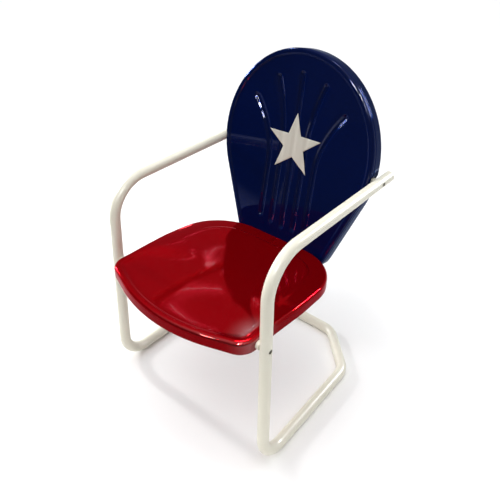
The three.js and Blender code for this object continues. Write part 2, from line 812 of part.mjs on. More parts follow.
function seatSheet() {
  const outline = seatOutline();
  const points = [];
  const triangles = [];
  const normals = outline.map((_, i) => {
    const before = outline[(i + outline.length - 1) % outline.length];
    const after = outline[(i + 1) % outline.length];
    return new THREE.Vector2(after.y - before.y, before.x - after.x).normalize();
  });
  const onDart = (point) => Math.abs(point.x) < dartHalfWidth / 2 && point.y > seatCentreReach;
  const addRing = (place) => outline.map((point, i) => points.push(place(point, normals[i])) - 1);
  const softShare = (point) => {
    return THREE.MathUtils.smoothstep(point.y, seatCrispUntil, seatSoftFrom);
  };
  const wideShare = (point) => {
    return THREE.MathUtils.smoothstep(point.y, -seatFrontReach, seatWideningUntil);
  };
  const insetAt = (point, row) => seatRimInsets[row] + seatRollWidenings[row] * wideShare(point);
  const heightAt = (point, row) => {
    return THREE.MathUtils.lerp(seatRimHeights[row], seatRollHeights[row], softShare(point));
  };
  const rings = seatRimInsets.map((_, row) =>
    addRing((point, normal) => {
      const inset = insetAt(point, row);
      const height = heightAt(point, row);
      const below = Math.min(0, height - seatWallTop);
      const lean = below * Math.tan(recline) * Math.max(0, normal.y) ** 2;
      const drop = onDart(point) && inset > seatRimInsets[2] ? dartDepth : 0;
      const across = point.x - normal.x * inset;
      const reach = point.y - normal.y * inset + lean;
      return new THREE.Vector3(across, reach, seatRimHeight(point.y) + height - drop);
    }),
  );
  const lastRow = seatRimInsets.length - 1;
  const centre = new THREE.Vector2(0, seatCentreReach);
  const dishHeight = (point, reach, share) => {
    const edge = heightAt(point, lastRow);
    const front = 1 - share ** seatFrontDishPower;
    const side = (1 - share ** seatSideDishPower) ** 2;
    const deep = THREE.MathUtils.lerp(front, side, wideShare(point));
    return seatRimHeight(reach) + edge - (seatDish + edge) * deep;
  };
  for (const share of seatRingShares) {
    rings.push(
      addRing((point, normal) => {
        const crease = point.clone().addScaledVector(normal, -insetAt(point, lastRow));
        const place = centre.clone().lerp(crease, share);
        const drop = onDart(point) && share === seatRingShares[0] ? dartDepth / 2 : 0;
        return new THREE.Vector3(place.x, place.y, dishHeight(point, place.y, share) - drop);
      }),
    );
  }
  const lowest = new THREE.Vector3(0, centre.y, dishHeight(outline[0], centre.y, 0));
  const middle = points.push(lowest) - 1;
  for (let row = 0; row + 1 < rings.length; row += 1) addBand(triangles, rings[row + 1], rings[row]);
  const last = rings[rings.length - 1];
  last.forEach((a, i) => triangles.push([a, last[(i + 1) % last.length], middle]));
  return thickSheet(points, triangles, sheetThickness);
}

function seatPan() {
  const bolt = seatBoltAt(1);
  const holes = sides.map(({ sign }) => {
    const at = (across) => new THREE.Vector3(sign * across, bolt.centre.y, bolt.centre.z);
    const inner = at(bolt.sheetFace - sheetThickness - cutOverrun);
    return rod(inner, at(bolt.sheetFace + cutOverrun), boltHole / 2);
  });
  for (const across of joinBoltPlaces()) {
    const face = joinBoltFace(across);
    const front = face.clone().addScaledVector(backRear, -sheetThickness - fitGap - cutOverrun);
    holes.push(rod(front, face.clone().addScaledVector(backRear, cutOverrun), boltHole / 2));
  }
  return part("seat_pan", cutAll(seatSheet(), holes), enamelRed);
}

// Fasteners. Each is turned about its own axis, which points from the head to the tail.

function boltGeometry(length) {
  const shank = boltDiameter / 2;
  const head = boltHeadDiameter / 2;
  const profile = [
    new THREE.Vector2(0, -boltHeadHeight),
    new THREE.Vector2(head - boltHeadRound, -boltHeadHeight),
    new THREE.Vector2(head, boltHeadRound - boltHeadHeight),
    new THREE.Vector2(head, 0),
    new THREE.Vector2(shank, 0),
    new THREE.Vector2(shank, length),
    new THREE.Vector2(0, length),
  ];
  const socketRadius = boltSocketAcross / 2;
  const socket = new THREE.CylinderGeometry(socketRadius, socketRadius, 2 * boltSocketDepth, 6);
  socket.translate(0, -boltHeadHeight, 0);
  return cutAll(new THREE.LatheGeometry(profile, boltSides), [socket]);
}

function ringGeometry(outer, bore, length) {
  const profile = [
    new THREE.Vector2(bore, 0),
    new THREE.Vector2(outer, 0),
    new THREE.Vector2(outer, length),
    new THREE.Vector2(bore, length),
    new THREE.Vector2(bore, 0),
  ];
  return new THREE.LatheGeometry(profile, boltSides);
}

function nutGeometry() {
  const shape = new THREE.Shape(flatPolygon(nutAcross / 2, 6));
  shape.holes.push(new THREE.Path(flatPolygon(boltHole / 2, boltSides)));
  const straight = { depth: nutThickness, bevelEnabled: false, steps: 1 };
  const geometry = new THREE.ExtrudeGeometry(shape, straight);
  return geometry.rotateX(-halfTurn / 2);
}

function placed(name, geometry, material, origin, direction) {
  const mesh = part(name, geometry, material);
  mesh.position.copy(origin);
  mesh.quaternion.copy(turnTo(direction));
  return mesh;
}

// Bolt, spacer, washer and nut that hold a sheet's side wall to its tube
function sideFasteners(label, bolt) {
  const inward = new THREE.Vector3(-bolt.sign, 0, 0);
  const at = (across) => new THREE.Vector3(bolt.sign * across, bolt.centre.y, bolt.centre.z);
  const headFace = Math.abs(bolt.centre.x) - boreRadius + boltHeadLift;
  const washerFace = bolt.sheetFace - sheetThickness - fitGap;
  const nutFace = washerFace - washerThickness - fitGap;
  const length = headFace - nutFace + nutThickness + boltTail;
  const washer = ringGeometry(washerDiameter / 2, boltHole / 2, washerThickness);
  const spacer = ringGeometry(spacerDiameter / 2, boltHole / 2, bolt.spacerLength);
  const group = new THREE.Group();
  group.add(placed(`${label}_bolt`, boltGeometry(length), zincSteel, at(headFace), inward));
  group.add(placed(`${label}_spacer`, spacer, powderWhite, at(bolt.tubeFace - fitGap), inward));
  group.add(placed(`${label}_washer`, washer, zincSteel, at(washerFace), inward));
  group.add(placed(`${label}_nut`, nutGeometry(), zincSteel, at(nutFace), inward));
  return group;
}

function joinBoltPlaces() {
  const first = (-(joinBoltCount - 1) * joinBoltSpacing) / 2;
  return Array.from({ length: joinBoltCount }, (_, i) => first + i * joinBoltSpacing);
}

// A join bolt's place on the front face of the back panel
function joinBoltFace(across) {
  const bottom = new THREE.Vector3(across, backBottomReach, backBottomHeight);
  return bottom.addScaledVector(backTop, joinBoltRise);
}

// Bolts that join the seat's rear flange to the back panel, with their heads under the seat
function joinFasteners() {
  const group = new THREE.Group();
  const washerFace = fitGap + sheetThickness + fitGap + washerThickness;
  const headFace = washerFace + fitGap;
  const nutFace = sheetThickness + fitGap;
  const length = headFace + nutFace + nutThickness + boltTail;
  joinBoltPlaces().forEach((across, i) => {
    const at = (behind) => joinBoltFace(across).addScaledVector(backRear, behind);
    const washer = ringGeometry(washerDiameter / 2, boltHole / 2, washerThickness);
    group.add(placed(`join_bolt_${i + 1}`, boltGeometry(length), zincSteel, at(-headFace), backRear));
    group.add(placed(`join_washer_${i + 1}`, washer, zincSteel, at(-washerFace), backRear));
    group.add(placed(`join_nut_${i + 1}`, nutGeometry(), zincSteel, at(nutFace), backRear));
  });
  return group;
}

// Assembly

const backrest = new THREE.Group();
backrest.position.set(0, backBottomReach, backBottomHeight);
backrest.rotation.x = -recline;
backrest.add(backPanel());
backrest.add(star());

const chair = new THREE.Group();
for (const side of sides) {
  chair.add(sideFrame(side));
  chair.add(sideFasteners(`${side.name}_seat`, seatBoltAt(side.sign)));
  chair.add(sideFasteners(`${side.name}_back`, backBoltAt(side.sign)));
}
chair.add(rearCrossbar());
chair.add(seatPan());
chair.add(backrest);
chair.add(joinFasteners());

// The origin lies on the floor under the middle of the chair's outer box.
const box = new THREE.Box3().setFromObject(chair, true);
chair.position.y = -(box.min.y + box.max.y) / 2;

export default chair;
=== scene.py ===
# Retro metal lawn chair: the looks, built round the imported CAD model.
from math import acos, asin, atan2, copysign, cos, degrees, hypot, pi, radians, sin, sqrt, tan

import bmesh
import bpy
import numpy as np
from mathutils import Matrix, Vector


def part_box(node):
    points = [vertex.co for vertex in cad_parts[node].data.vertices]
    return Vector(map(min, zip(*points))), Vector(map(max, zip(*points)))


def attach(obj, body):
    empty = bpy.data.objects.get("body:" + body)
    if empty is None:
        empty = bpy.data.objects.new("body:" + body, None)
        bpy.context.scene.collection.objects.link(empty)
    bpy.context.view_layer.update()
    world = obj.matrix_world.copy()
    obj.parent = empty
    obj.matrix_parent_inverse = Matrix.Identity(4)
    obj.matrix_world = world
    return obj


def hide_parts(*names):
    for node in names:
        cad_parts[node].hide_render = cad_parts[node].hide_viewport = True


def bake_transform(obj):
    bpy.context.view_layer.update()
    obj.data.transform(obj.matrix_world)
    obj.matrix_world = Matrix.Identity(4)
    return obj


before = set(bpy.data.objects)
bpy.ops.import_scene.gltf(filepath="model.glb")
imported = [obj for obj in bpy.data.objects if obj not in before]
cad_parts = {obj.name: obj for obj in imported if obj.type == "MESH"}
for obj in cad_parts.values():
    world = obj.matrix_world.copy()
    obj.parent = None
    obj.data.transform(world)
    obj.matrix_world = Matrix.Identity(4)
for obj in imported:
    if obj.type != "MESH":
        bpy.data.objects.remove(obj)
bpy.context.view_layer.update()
print("frame loaded:", len(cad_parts), "nodes")

mm = 0.001
frontFootY = -222.882  # where the front foot stands in the chair's frame, in millimetres


def chairPoint(point):  # millimetres, with reach from the front foot, to the chair's frame
    return Vector((point[0], point[1] + frontFootY, point[2])) * mm


def chairPoints(points):
    shifted = np.array(points, float)
    shifted[:, 1] += frontFootY
    return shifted * mm


def nodeCentre(node):  # back from the chair's frame to millimetres
    low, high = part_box(node)
    middle = (low + high) / 2 / mm
    middle.y -= frontFootY
    return middle


def addObject(name, data):
    thing = bpy.data.objects.new(name, data)
    bpy.context.collection.objects.link(thing)
    return thing


# camera

photoCamera = dict(
    place=(814.3, -678.7, 1207.5),  # millimetres, with reach from the front foot
    azimuth=38.12, elevation=22.02, roll=1.06,  # degrees
    focalPixels=527.1, pictureSize=500, axisPixel=(275.5, 136.0),
    sensor=36.0, clipStart=0.05,
)


def makeCamera():
    c = photoCamera
    azimuth, elevation, roll = (radians(c[key]) for key in ("azimuth", "elevation", "roll"))
    back = Vector((sin(azimuth) * cos(elevation), -cos(azimuth) * cos(elevation), sin(elevation)))
    level = Vector((cos(azimuth), sin(azimuth), 0))
    upright = back.cross(level)
    right = level * cos(roll) + upright * sin(roll)
    up = upright * cos(roll) - level * sin(roll)
    data = bpy.data.cameras.new("photoCamera")
    data.sensor_width = c["sensor"]
    data.lens = c["focalPixels"] / c["pictureSize"] * c["sensor"]
    data.shift_x = 0.5 - c["axisPixel"][0] / c["pictureSize"]
    data.shift_y = c["axisPixel"][1] / c["pictureSize"] - 0.5
    data.clip_start = c["clipStart"]
    camera = addObject("photoCamera", data)
    turn = Matrix((right, up, back)).transposed().to_4x4()
    camera.matrix_world = Matrix.Translation(chairPoint(c["place"])) @ turn
    bpy.context.scene.camera = camera


makeCamera()
print("camera ready")


# mesh helpers

def makePiece(name, points, faces, material, sharp=None):
    mesh = bpy.data.meshes.new(name)
    mesh.from_pydata([tuple(p) for p in points], [], [tuple(f) for f in faces])
    mesh.validate()
    mesh.polygons.foreach_set("use_smooth", [True] * len(mesh.polygons))
    if sharp is not None:
        mesh.set_sharp_from_angle(angle=radians(sharp))
    mesh.update()
    mesh.materials.append(material)
    return addObject(name, mesh)


def settle(piece, slot, body, *nodes):  # the CAD nodes it stands for, its colour slot (not used), its body
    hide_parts(*nodes)
    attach(piece, body)


def smoothStep(low, high, value):
    t = np.clip((np.asarray(value, float) - low) / (high - low), 0, 1)
    return t * t * (3 - 2 * t)


def smoothLine(controls, perSpan):  # a Catmull-Rom curve through rows of numbers
    c = np.array(controls, float)
    c = np.vstack([2 * c[0] - c[1], c, 2 * c[-1] - c[-2]])

    def weigh(low, high, first, second, t):
        return ((high - t) * first + (t - low) * second) / (high - low)

    line = []
    for i in range(1, len(c) - 2):
        knots = [0.0]
        for j in range(3):
            knots.append(knots[-1] + max(np.linalg.norm(c[i + j] - c[i + j - 1]) ** 0.5, 1e-6))
        for t in np.linspace(knots[1], knots[2], perSpan, endpoint=False):
            near = [weigh(knots[k], knots[k + 1], c[i - 1 + k], c[i + k], t) for k in range(3)]
            wide = [weigh(knots[k], knots[k + 2], near[k], near[k + 1], t) for k in range(2)]
            line.append(weigh(knots[1], knots[2], wide[0], wide[1], t))
    line.append(c[-2])
    return np.array(line)


def unitRows(rows):
    return rows / np.linalg.norm(rows, axis=1, keepdims=True)


def loopNormals(loop):  # outward from a flat, closed, counter-clockwise loop, not yet of unit length
    along = np.roll(loop, -1, axis=0) - np.roll(loop, 1, axis=0)
    return np.stack([along[:, 1], -along[:, 0]], axis=1)


# closes an open sheet: its back lies one thickness behind, and its free edge is rounded
def thickSheet(points, faces, thickness, lip=0.3):
    points = np.array(points, float)
    normals = np.zeros_like(points)
    borders = {}
    for face in faces:
        corners = points[list(face)]
        normals[list(face)] += np.cross(corners[2] - corners[0], corners[-1] - corners[1])
        for a, b in zip(face, face[1:] + face[:1]):
            if (b, a) in borders:
                del borders[(b, a)]
            else:
                borders[(a, b)] = True
    normals = unitRows(normals)
    count = len(points)
    behind = points - normals * thickness
    outward = {}
    for a, b in borders:
        side = np.cross(points[b] - points[a], normals[a])
        side /= np.linalg.norm(side)
        for corner in (a, b):
            outward[corner] = outward.get(corner, 0) + side
    extra, rounded = {}, []
    for corner, side in outward.items():
        side = side / np.linalg.norm(side)
        extra[corner] = 2 * count + len(rounded)
        rounded.append((points[corner] + behind[corner]) / 2 + side * thickness * lip)
    closed = [list(f) for f in faces] + [[i + count for i in reversed(f)] for f in faces]
    for a, b in borders:
        closed.append([b, a, extra[a], extra[b]])
        closed.append([extra[b], extra[a], a + count, b + count])
    return np.vstack([points, behind, rounded]), closed


def gridFaces(rows, columns, closed=False):
    faces = []
    for r in range(rows - 1):
        for c in range(columns if closed else columns - 1):
            n = (c + 1) % columns
            here, above = r * columns, (r + 1) * columns
            faces.append([here + c, here + n, above + n, above + c])
    return faces


def cappedFaces(rings, sides):
    caps = [list(range(sides))[::-1], list(range((rings - 1) * sides, rings * sides))]
    return gridFaces(rings, sides, closed=True) + caps


def circle(place, side, up, radius, sides):
    angles = [2 * pi * k / sides for k in range(sides)]
    return [place + side * radius * cos(a) + up * radius * sin(a) for a in angles]


def arcPoint(start, into, across, radius, angle):  # on a bend that begins at start
    return start + into * radius * sin(angle) + across * radius * (1 - cos(angle))


# paints

def paintColour(red, green, blue):  # screen colour, 0 to 255, to a shader's linear colour
    shares = (red / 255, green / 255, blue / 255)
    return (*(v / 12.92 if v <= 0.04045 else ((v + 0.055) / 1.055) ** 2.4 for v in shares), 1.0)


def newMaterial(name):
    material = bpy.data.materials.new(name)
    material.use_nodes = True
    return material, material.node_tree, material.node_tree.nodes["Principled BSDF"]


# a group with one output; an input is a colour where its first value is a tuple
def newGroup(name, inputs, output, outputKind="NodeSocketFloat"):
    group = bpy.data.node_groups.new(name, "ShaderNodeTree")
    for label, value in inputs.items():
        kind = "NodeSocketColor" if isinstance(value, tuple) else "NodeSocketFloat"
        socket = group.interface.new_socket(name=label, in_out="INPUT", socket_type=kind)
        socket.default_value = value
    group.interface.new_socket(name=output, in_out="OUTPUT", socket_type=outputKind)
    return group, group.nodes.new("NodeGroupInput").outputs, group.nodes.new("NodeGroupOutput").inputs


def feed(tree, value, socket):  # a number or colour is set, anything else is linked
    if isinstance(value, (int, float, tuple)):
        socket.default_value = value
    else:
        tree.links.new(value, socket)


def nodeOutput(tree, kind, output):
    return tree.nodes.new("ShaderNode" + kind).outputs[output]


def splitVector(tree, kind, output):
    split = tree.nodes.new("ShaderNodeSeparateXYZ")
    tree.links.new(nodeOutput(tree, kind, output), split.inputs[0])
    return split.outputs


def mathNode(tree, operation, first, second=0, clamp=False):
    node = tree.nodes.new("ShaderNodeMath")
    node.operation = operation
    node.use_clamp = clamp
    feed(tree, first, node.inputs[0])
    feed(tree, second, node.inputs[1])
    return node.outputs[0]


def plus(tree, first, second, clamp=False):
    return mathNode(tree, "ADD", first, second, clamp)


def minus(tree, first, second, clamp=False):
    return mathNode(tree, "SUBTRACT", first, second, clamp)


def times(tree, first, second, clamp=False):
    return mathNode(tree, "MULTIPLY", first, second, clamp)


def above(tree, value, least, gain):  # what exceeds the least, steepened, within 0 to 1
    return times(tree, minus(tree, value, least, clamp=True), gain, clamp=True)


def noiseNode(tree, scale, detail, roughness=0.5):
    node = tree.nodes.new("ShaderNodeTexNoise")
    tree.links.new(nodeOutput(tree, "TexCoord", "Object"), node.inputs["Vector"])
    for label, value in (("Scale", scale), ("Detail", detail), ("Roughness", roughness)):
        feed(tree, value, node.inputs[label])
    return node.outputs["Fac"]


def mapRange(tree, value, low, high, first, second):
    node = tree.nodes.new("ShaderNodeMapRange")
    node.interpolation_type = "SMOOTHSTEP"
    for label, given in zip(("Value", "From Min", "From Max", "To Min", "To Max"),
                            (value, low, high, first, second)):
        feed(tree, given, node.inputs[label])
    return node.outputs["Result"]


def mixColour(tree, mask, under, over):
    mix = tree.nodes.new("ShaderNodeMix")
    mix.data_type = "RGBA"
    for label, value in (("Factor", mask), ("A", under), ("B", over)):
        feed(tree, value, mix.inputs[label])
    return mix.outputs["Result"]


# height of sprayed paint: a fine orange peel over the slow waves of pressed sheet
def makePaintSkin():
    inputs = {"Peel Scale": 600.0, "Peel Height": 1.0, "Wave Scale": 12.0, "Wave Height": 1.0}
    group, start, end = newGroup("paintSkin", inputs, "Height")
    peel = times(group, noiseNode(group, start["Peel Scale"], 1.5), start["Peel Height"])
    waves = times(group, noiseNode(group, start["Wave Scale"], 1.0), start["Wave Height"])
    group.links.new(plus(group, peel, waves), end[0])
    return group


# a colour that drifts a little to another over the surface
def makeShadeDrift():
    inputs = {"Colour": (1, 1, 1, 1), "Drift Colour": (0.5, 0.5, 0.5, 1), "Scale": 6.0, "Amount": 0.3}
    group, start, end = newGroup("shadeDrift", inputs, "Colour", "NodeSocketColor")
    clouds = above(group, noiseNode(group, start["Scale"], 4.0), least=0.35, gain=3.0)
    share = times(group, clouds, start["Amount"])
    group.links.new(mixColour(group, share, start["Colour"], start["Drift Colour"]), end[0])
    return group


# mask of thin dust that settles on faces that look up
def makeDustFilm():
    group, start, end = newGroup("dustFilm", {"Scale": 40.0, "Amount": 0.2}, "Mask")
    upward = times(group, splitVector(group, "NewGeometry", "Normal")["Z"], 1.0, clamp=True)
    specks = above(group, noiseNode(group, start["Scale"], 6.0, 0.7), least=0.42, gain=3.5)
    group.links.new(times(group, times(group, upward, specks), start["Amount"]), end[0])
    return group


# mask of the thin, rubbed paint on outward edges, broken up by a fine grain
def makeEdgeWear():
    inputs = {"Sharpness": 8.0, "Grain Scale": 90.0, "Amount": 0.5}
    group, start, end = newGroup("edgeWear", inputs, "Mask")
    point = nodeOutput(group, "NewGeometry", "Pointiness")
    edge = above(group, point, least=0.53, gain=start["Sharpness"])
    grain = above(group, noiseNode(group, start["Grain Scale"], 4.0, 0.65), least=0.38, gain=4.0)
    group.links.new(times(group, times(group, edge, grain), start["Amount"]), end[0])
    return group


paintSkin = makePaintSkin()
shadeDrift = makeShadeDrift()
dustFilm = makeDustFilm()
edgeWear = makeEdgeWear()


def placeGroup(tree, group, values):
    node = tree.nodes.new("ShaderNodeGroup")
    node.node_tree = group
    for label, value in values.items():
        node.inputs[label].default_value = value
    return node.outputs[0]


def addSkin(tree, shader, distance, values):
    bump = tree.nodes.new("ShaderNodeBump")
    bump.inputs["Distance"].default_value = distance
    tree.links.new(placeGroup(tree, paintSkin, values), bump.inputs["Height"])
    tree.links.new(bump.outputs["Normal"], shader.inputs["Normal"])


def makePaint(name, look):
    material, tree, shader = newMaterial(name)
    drift = placeGroup(tree, shadeDrift, {
        "Colour": look["colour"], "Drift Colour": look["drift"],
        "Scale": look["driftScale"], "Amount": look["driftAmount"],
    })
    dust = placeGroup(tree, dustFilm, {"Scale": look["dustScale"], "Amount": look["dustAmount"]})
    wear = placeGroup(tree, edgeWear, {
        "Sharpness": look["wearSharpness"], "Grain Scale": look["wearGrain"], "Amount": look["wearAmount"],
    })
    worn = mixColour(tree, wear, drift, look["wearColour"])
    tree.links.new(mixColour(tree, dust, worn, look["dustColour"]), shader.inputs["Base Color"])
    smear = minus(tree, noiseNode(tree, look["smearScale"], 5.0, 0.6), 0.5)
    dulled = plus(tree, times(tree, smear, look["smearAmount"]), look["roughness"])
    dusty = times(tree, dust, look["dustRoughness"])
    tree.links.new(plus(tree, dulled, dusty, clamp=True), shader.inputs["Roughness"])
    addSkin(tree, shader, look["bumpDistance"], {
        "Peel Scale": look["peelScale"], "Peel Height": look["peelHeight"],
        "Wave Scale": look["waveScale"], "Wave Height": look["waveHeight"],
    })
    if look["coat"]:
        facing = nodeOutput(tree, "LayerWeight", "Facing")
        coat = mapRange(tree, facing, *look["coatFades"], look["coat"], look["coatLeast"])
        tree.links.new(coat, shader.inputs["Coat Weight"])
    settings = {
        "Specular IOR Level": "specular", "Specular Tint": "specularTint", "Metallic": "metallic",
        "Coat Roughness": "coatRoughness", "Coat IOR": "coatIor",
    }
    for label, key in settings.items():
        shader.inputs[label].default_value = look[key]
    return material


powderLook = dict(
    colour=paintColour(233, 229, 212), drift=paintColour(224, 218, 197),
    driftScale=7.0, driftAmount=0.35,
    dustScale=60.0, dustAmount=0.12, dustColour=paintColour(190, 182, 165), dustRoughness=0.3,
    wearSharpness=6.0, wearGrain=160.0, wearAmount=0.35, wearColour=paintColour(236, 233, 224),
    roughness=0.34, smearScale=25.0, smearAmount=0.08,
    peelScale=900.0, peelHeight=1.0, waveScale=60.0, waveHeight=1.5, bumpDistance=0.00006,
    specular=0.5, specularTint=(1, 1, 1, 1), metallic=0.0,
    coat=0.0, coatLeast=0.018, coatIor=1.5, coatRoughness=0.02,
    coatFades=(0.06, 0.3),  # facing at which the coat starts to fade, and is at its least
)
redLook = dict(
    powderLook,
    colour=paintColour(147, 0, 7), drift=paintColour(138, 0, 15), driftScale=4.0, driftAmount=0.4,
    dustColour=paintColour(150, 60, 60), dustAmount=0.04,
    wearColour=paintColour(160, 40, 40), wearAmount=0.15,
    roughness=0.035, smearScale=9.0, smearAmount=0.03,
    waveScale=9.0, waveHeight=3.0, peelHeight=0.35,
    specular=0.0, specularTint=(1, 0.6, 0.63, 1), metallic=0.62, coat=0.6, coatIor=1.7,
)
navyLook = dict(
    redLook,
    colour=paintColour(0, 14, 62), drift=paintColour(0, 12, 53),
    dustColour=paintColour(70, 78, 96), wearColour=paintColour(30, 42, 80),
    specularTint=(0.5, 0.6, 0.8, 1), metallic=0.3, coatLeast=0.16, coatIor=1.5,
)
starLook = dict(
    powderLook,
    colour=paintColour(191, 189, 177), drift=paintColour(181, 178, 165),
    wearColour=paintColour(225, 222, 208), roughness=0.4,
)

framePaint = makePaint("framePowderWhite", powderLook)
seatPaint = makePaint("seatEnamelRed", redLook)
backPaint = makePaint("backEnamelNavy", navyLook)
starPaint = makePaint("starPaintGrey", starLook)


def sourceOf(socket):
    return socket.links[0].from_socket


# painted light in the seat's colour: a pale painted sheen in the near front corner of the dish, and a darker
# painted shade on the steep flange
seatPaintedLight = dict(
    place=(0.222, -0.207), reach=0.085, amount=0.34, colour=paintColour(215, 175, 178), roughness=0.25,
    creaseHeights=(0.367, 0.369),  # the painted sheen ends at the crease
    flangeShadeColour=paintColour(108, 0, 5), flangeShadeAmount=0.85, flangeTilt=(0.1, 0.7),
)


# painted sheen: a milky pale colour inside the near front corner of the dish, which also dulls the roughness
# there; painted shade: a deeper red on the flange's steep faces
def addSeatPaintedLight():
    h = seatPaintedLight
    tree = seatPaint.node_tree
    inputs = tree.nodes["Principled BSDF"].inputs
    x, y, z = splitVector(tree, "TexCoord", "Object")
    offsets = [minus(tree, way, middle) for way, middle in zip((x, y), h["place"])]
    far = mathNode(tree, "SQRT", plus(tree, *(times(tree, offset, offset) for offset in offsets)))
    near = mapRange(tree, far, 0, h["reach"], 1, 0)
    soft = times(tree, times(tree, near, near), h["amount"])
    paintedSheen = times(tree, soft, mapRange(tree, z, *h["creaseHeights"], 1, 0))
    upward = splitVector(tree, "TexCoord", "Normal")["Z"]
    # painted shade: the flange's steep faces are darkened toward a deeper red
    steep = times(tree, mapRange(tree, upward, *h["flangeTilt"], 1, 0), h["flangeShadeAmount"])
    under = mixColour(tree, steep, sourceOf(inputs["Base Color"]), h["flangeShadeColour"])
    tree.links.new(mixColour(tree, paintedSheen, under, h["colour"]), inputs["Base Color"])
    dulled = plus(tree, sourceOf(inputs["Roughness"]), times(tree, paintedSheen, h["roughness"]))
    tree.links.new(dulled, inputs["Roughness"])


# painted highlight: a lighter band along the star's edge, by the mark that the star's mesh carries
def addStarEdgeHighlight(colour):
    tree = starPaint.node_tree
    base = tree.nodes["Principled BSDF"].inputs["Base Color"]
    mark = tree.nodes.new("ShaderNodeAttribute")
    mark.attribute_name = "starHighlightBand"
    tree.links.new(mixColour(tree, mark.outputs["Fac"], sourceOf(base), colour), base)


zincLook = dict(
    film={
        "Colour": paintColour(178, 180, 182), "Drift Colour": paintColour(150, 146, 130),
        "Scale": 120.0, "Amount": 0.6,
    },
    roughness=0.22, grainScale=500.0, grainAmount=0.25,
    bumpDistance=0.00003, skin={"Peel Scale": 1500.0, "Wave Scale": 300.0},
)


# bright zinc plate with faint blotches of its passivated film
def makeZinc():
    z = zincLook
    material, tree, shader = newMaterial("fastenerZinc")
    tree.links.new(placeGroup(tree, shadeDrift, z["film"]), shader.inputs["Base Color"])
    shader.inputs["Metallic"].default_value = 1.0
    grain = times(tree, noiseNode(tree, z["grainScale"], 4.0), z["grainAmount"])
    tree.links.new(plus(tree, grain, z["roughness"]), shader.inputs["Roughness"])
    addSkin(tree, shader, z["bumpDistance"], z["skin"])
    return material


addSeatPaintedLight()
# the lighter colour of the star's painted edge highlight
addStarEdgeHighlight(paintColour(234, 232, 222))
white = (framePaint, "frame_white")
zinc = (makeZinc(), "zinc_steel")
print("paints ready")


# tube loop

tubeLoop = dict(
    radius=14.3, wall=1.6, sides=48,
    postHalf=260, postLean=13, armFront=569, armRise=14.4, armReach=510, armSplay=11, armBend=103,
    footBend=70, footStraight=10, runnerLength=361.4, cornerCut=112, cornerBend=60,
    seamFromBend=9, neckLength=45, neckChamfer=1.0, gap=0.3, lip=0.4,
    shoulder=((0.01, None), (0, 1.2), (-0.5, 0.35), (-1.4, 0)),  # outward from the seam, below the radius
    bendStep=4, straightStep=16,  # degrees, millimetres
    accessHole=11.5, boltHole=6.8, cutterLength=30, holeRound=0.7, roundFrom=38, sharpFrom=50,
)


def bentRoute(corners, radii):  # points and directions along a route, close together in bends
    corners = [Vector(c) for c in corners]
    stations = []

    def straight(start, end):
        span = end - start
        steps = max(1, round(span.length / tubeLoop["straightStep"]))
        for i in range(steps):
            stations.append((start + span * i / steps, span.normalized()))

    last = corners[0]
    for i, radius in enumerate(radii):
        corner = corners[i + 1]
        into = (corner - corners[i]).normalized()
        out = (corners[i + 2] - corner).normalized()
        turn = into.angle(out)
        start = corner - into * radius * tan(turn / 2)
        across = (out - into * out.dot(into)).normalized()
        straight(last, start)
        steps = max(2, round(degrees(turn) / tubeLoop["bendStep"]))
        for angle in (turn * k / steps for k in range(steps)):
            way = into * cos(angle) + across * sin(angle)
            stations.append((arcPoint(start, into, across, radius, angle), way))
        last = arcPoint(start, into, across, radius, turn)
    straight(last, corners[-1])
    stations.append((corners[-1], (corners[-1] - last).normalized()))
    return stations


def pipe(stations, outer, inner):  # a closed tube wall, with rounded lips at both ends
    sides, lip = tubeLoop["sides"], tubeLoop["lip"]
    (first, firstAim), (last, lastAim) = stations[0], stations[-1]
    middle = stations[1:-1]
    line = [(first, firstAim, outer - lip), (first + firstAim * lip, firstAim, outer)]
    line += [(place, aim, outer) for place, aim in middle]
    line += [(last - lastAim * lip, lastAim, outer), (last, lastAim, outer - lip)]
    line += [(place, aim, inner) for place, aim in [stations[-1]] + middle[::-1] + [stations[0]]]
    across = firstAim.orthogonal().normalized()
    crosses = {}
    for place, aim in stations:
        across = (across - aim * across.dot(aim)).normalized()
        crosses[tuple(aim)] = across.copy()
    points = []
    for place, aim, radius in line:
        side = crosses[tuple(aim)]
        points += circle(place, side, aim.cross(side), radius, sides)
    faces = gridFaces(len(line), sides, closed=True)
    top = (len(line) - 1) * sides
    faces += [[top + k, top + (k + 1) % sides, (k + 1) % sides, k] for k in range(sides)]
    return points, faces


def towards(start, end, distance):
    return start + (end - start).normalized() * distance


def bendRun(before, corner, after, radius):
    return radius * tan((corner - before).angle(after - corner) / 2)


def loopCorners(sign):
    t = tubeLoop
    half, floor = sign * t["postHalf"], t["radius"]
    armHalf = sign * (t["postHalf"] + t["armSplay"])
    at = {
        "armEnd": Vector((armHalf, t["armReach"], t["armFront"] + t["armRise"])),
        "armFront": Vector((half, t["postLean"], t["armFront"])),
        "foot": Vector((half, 0, floor)),
        "heel": Vector((half, t["runnerLength"], floor)),
        "rear": Vector((sign * (t["postHalf"] - t["cornerCut"]), t["runnerLength"] + t["cornerCut"], floor)),
    }
    middle = Vector((0, at["rear"].y, at["rear"].z))
    run = bendRun(at["heel"], at["rear"], middle, t["cornerBend"]) + t["seamFromBend"]
    at["seam"] = towards(at["rear"], at["heel"], run)
    at["neckEnd"] = towards(at["rear"], at["heel"], run + t["neckLength"])
    footRun = bendRun(at["armFront"], at["foot"], at["heel"], t["footBend"]) + t["footStraight"]
    at["postEnd"] = towards(at["foot"], at["armFront"], footRun)
    at["runnerStart"] = towards(at["foot"], at["heel"], footRun)
    return at


def holeCutter(centre, aim, diameter):
    sides = 40
    side = aim.orthogonal().normalized()
    points = []
    for end in (0, tubeLoop["cutterLength"]):
        points += circle(centre + aim * end, side, aim.cross(side), diameter / 2, sides)
    return makePiece("holeCutter", chairPoints(points), cappedFaces(2, sides), framePaint)


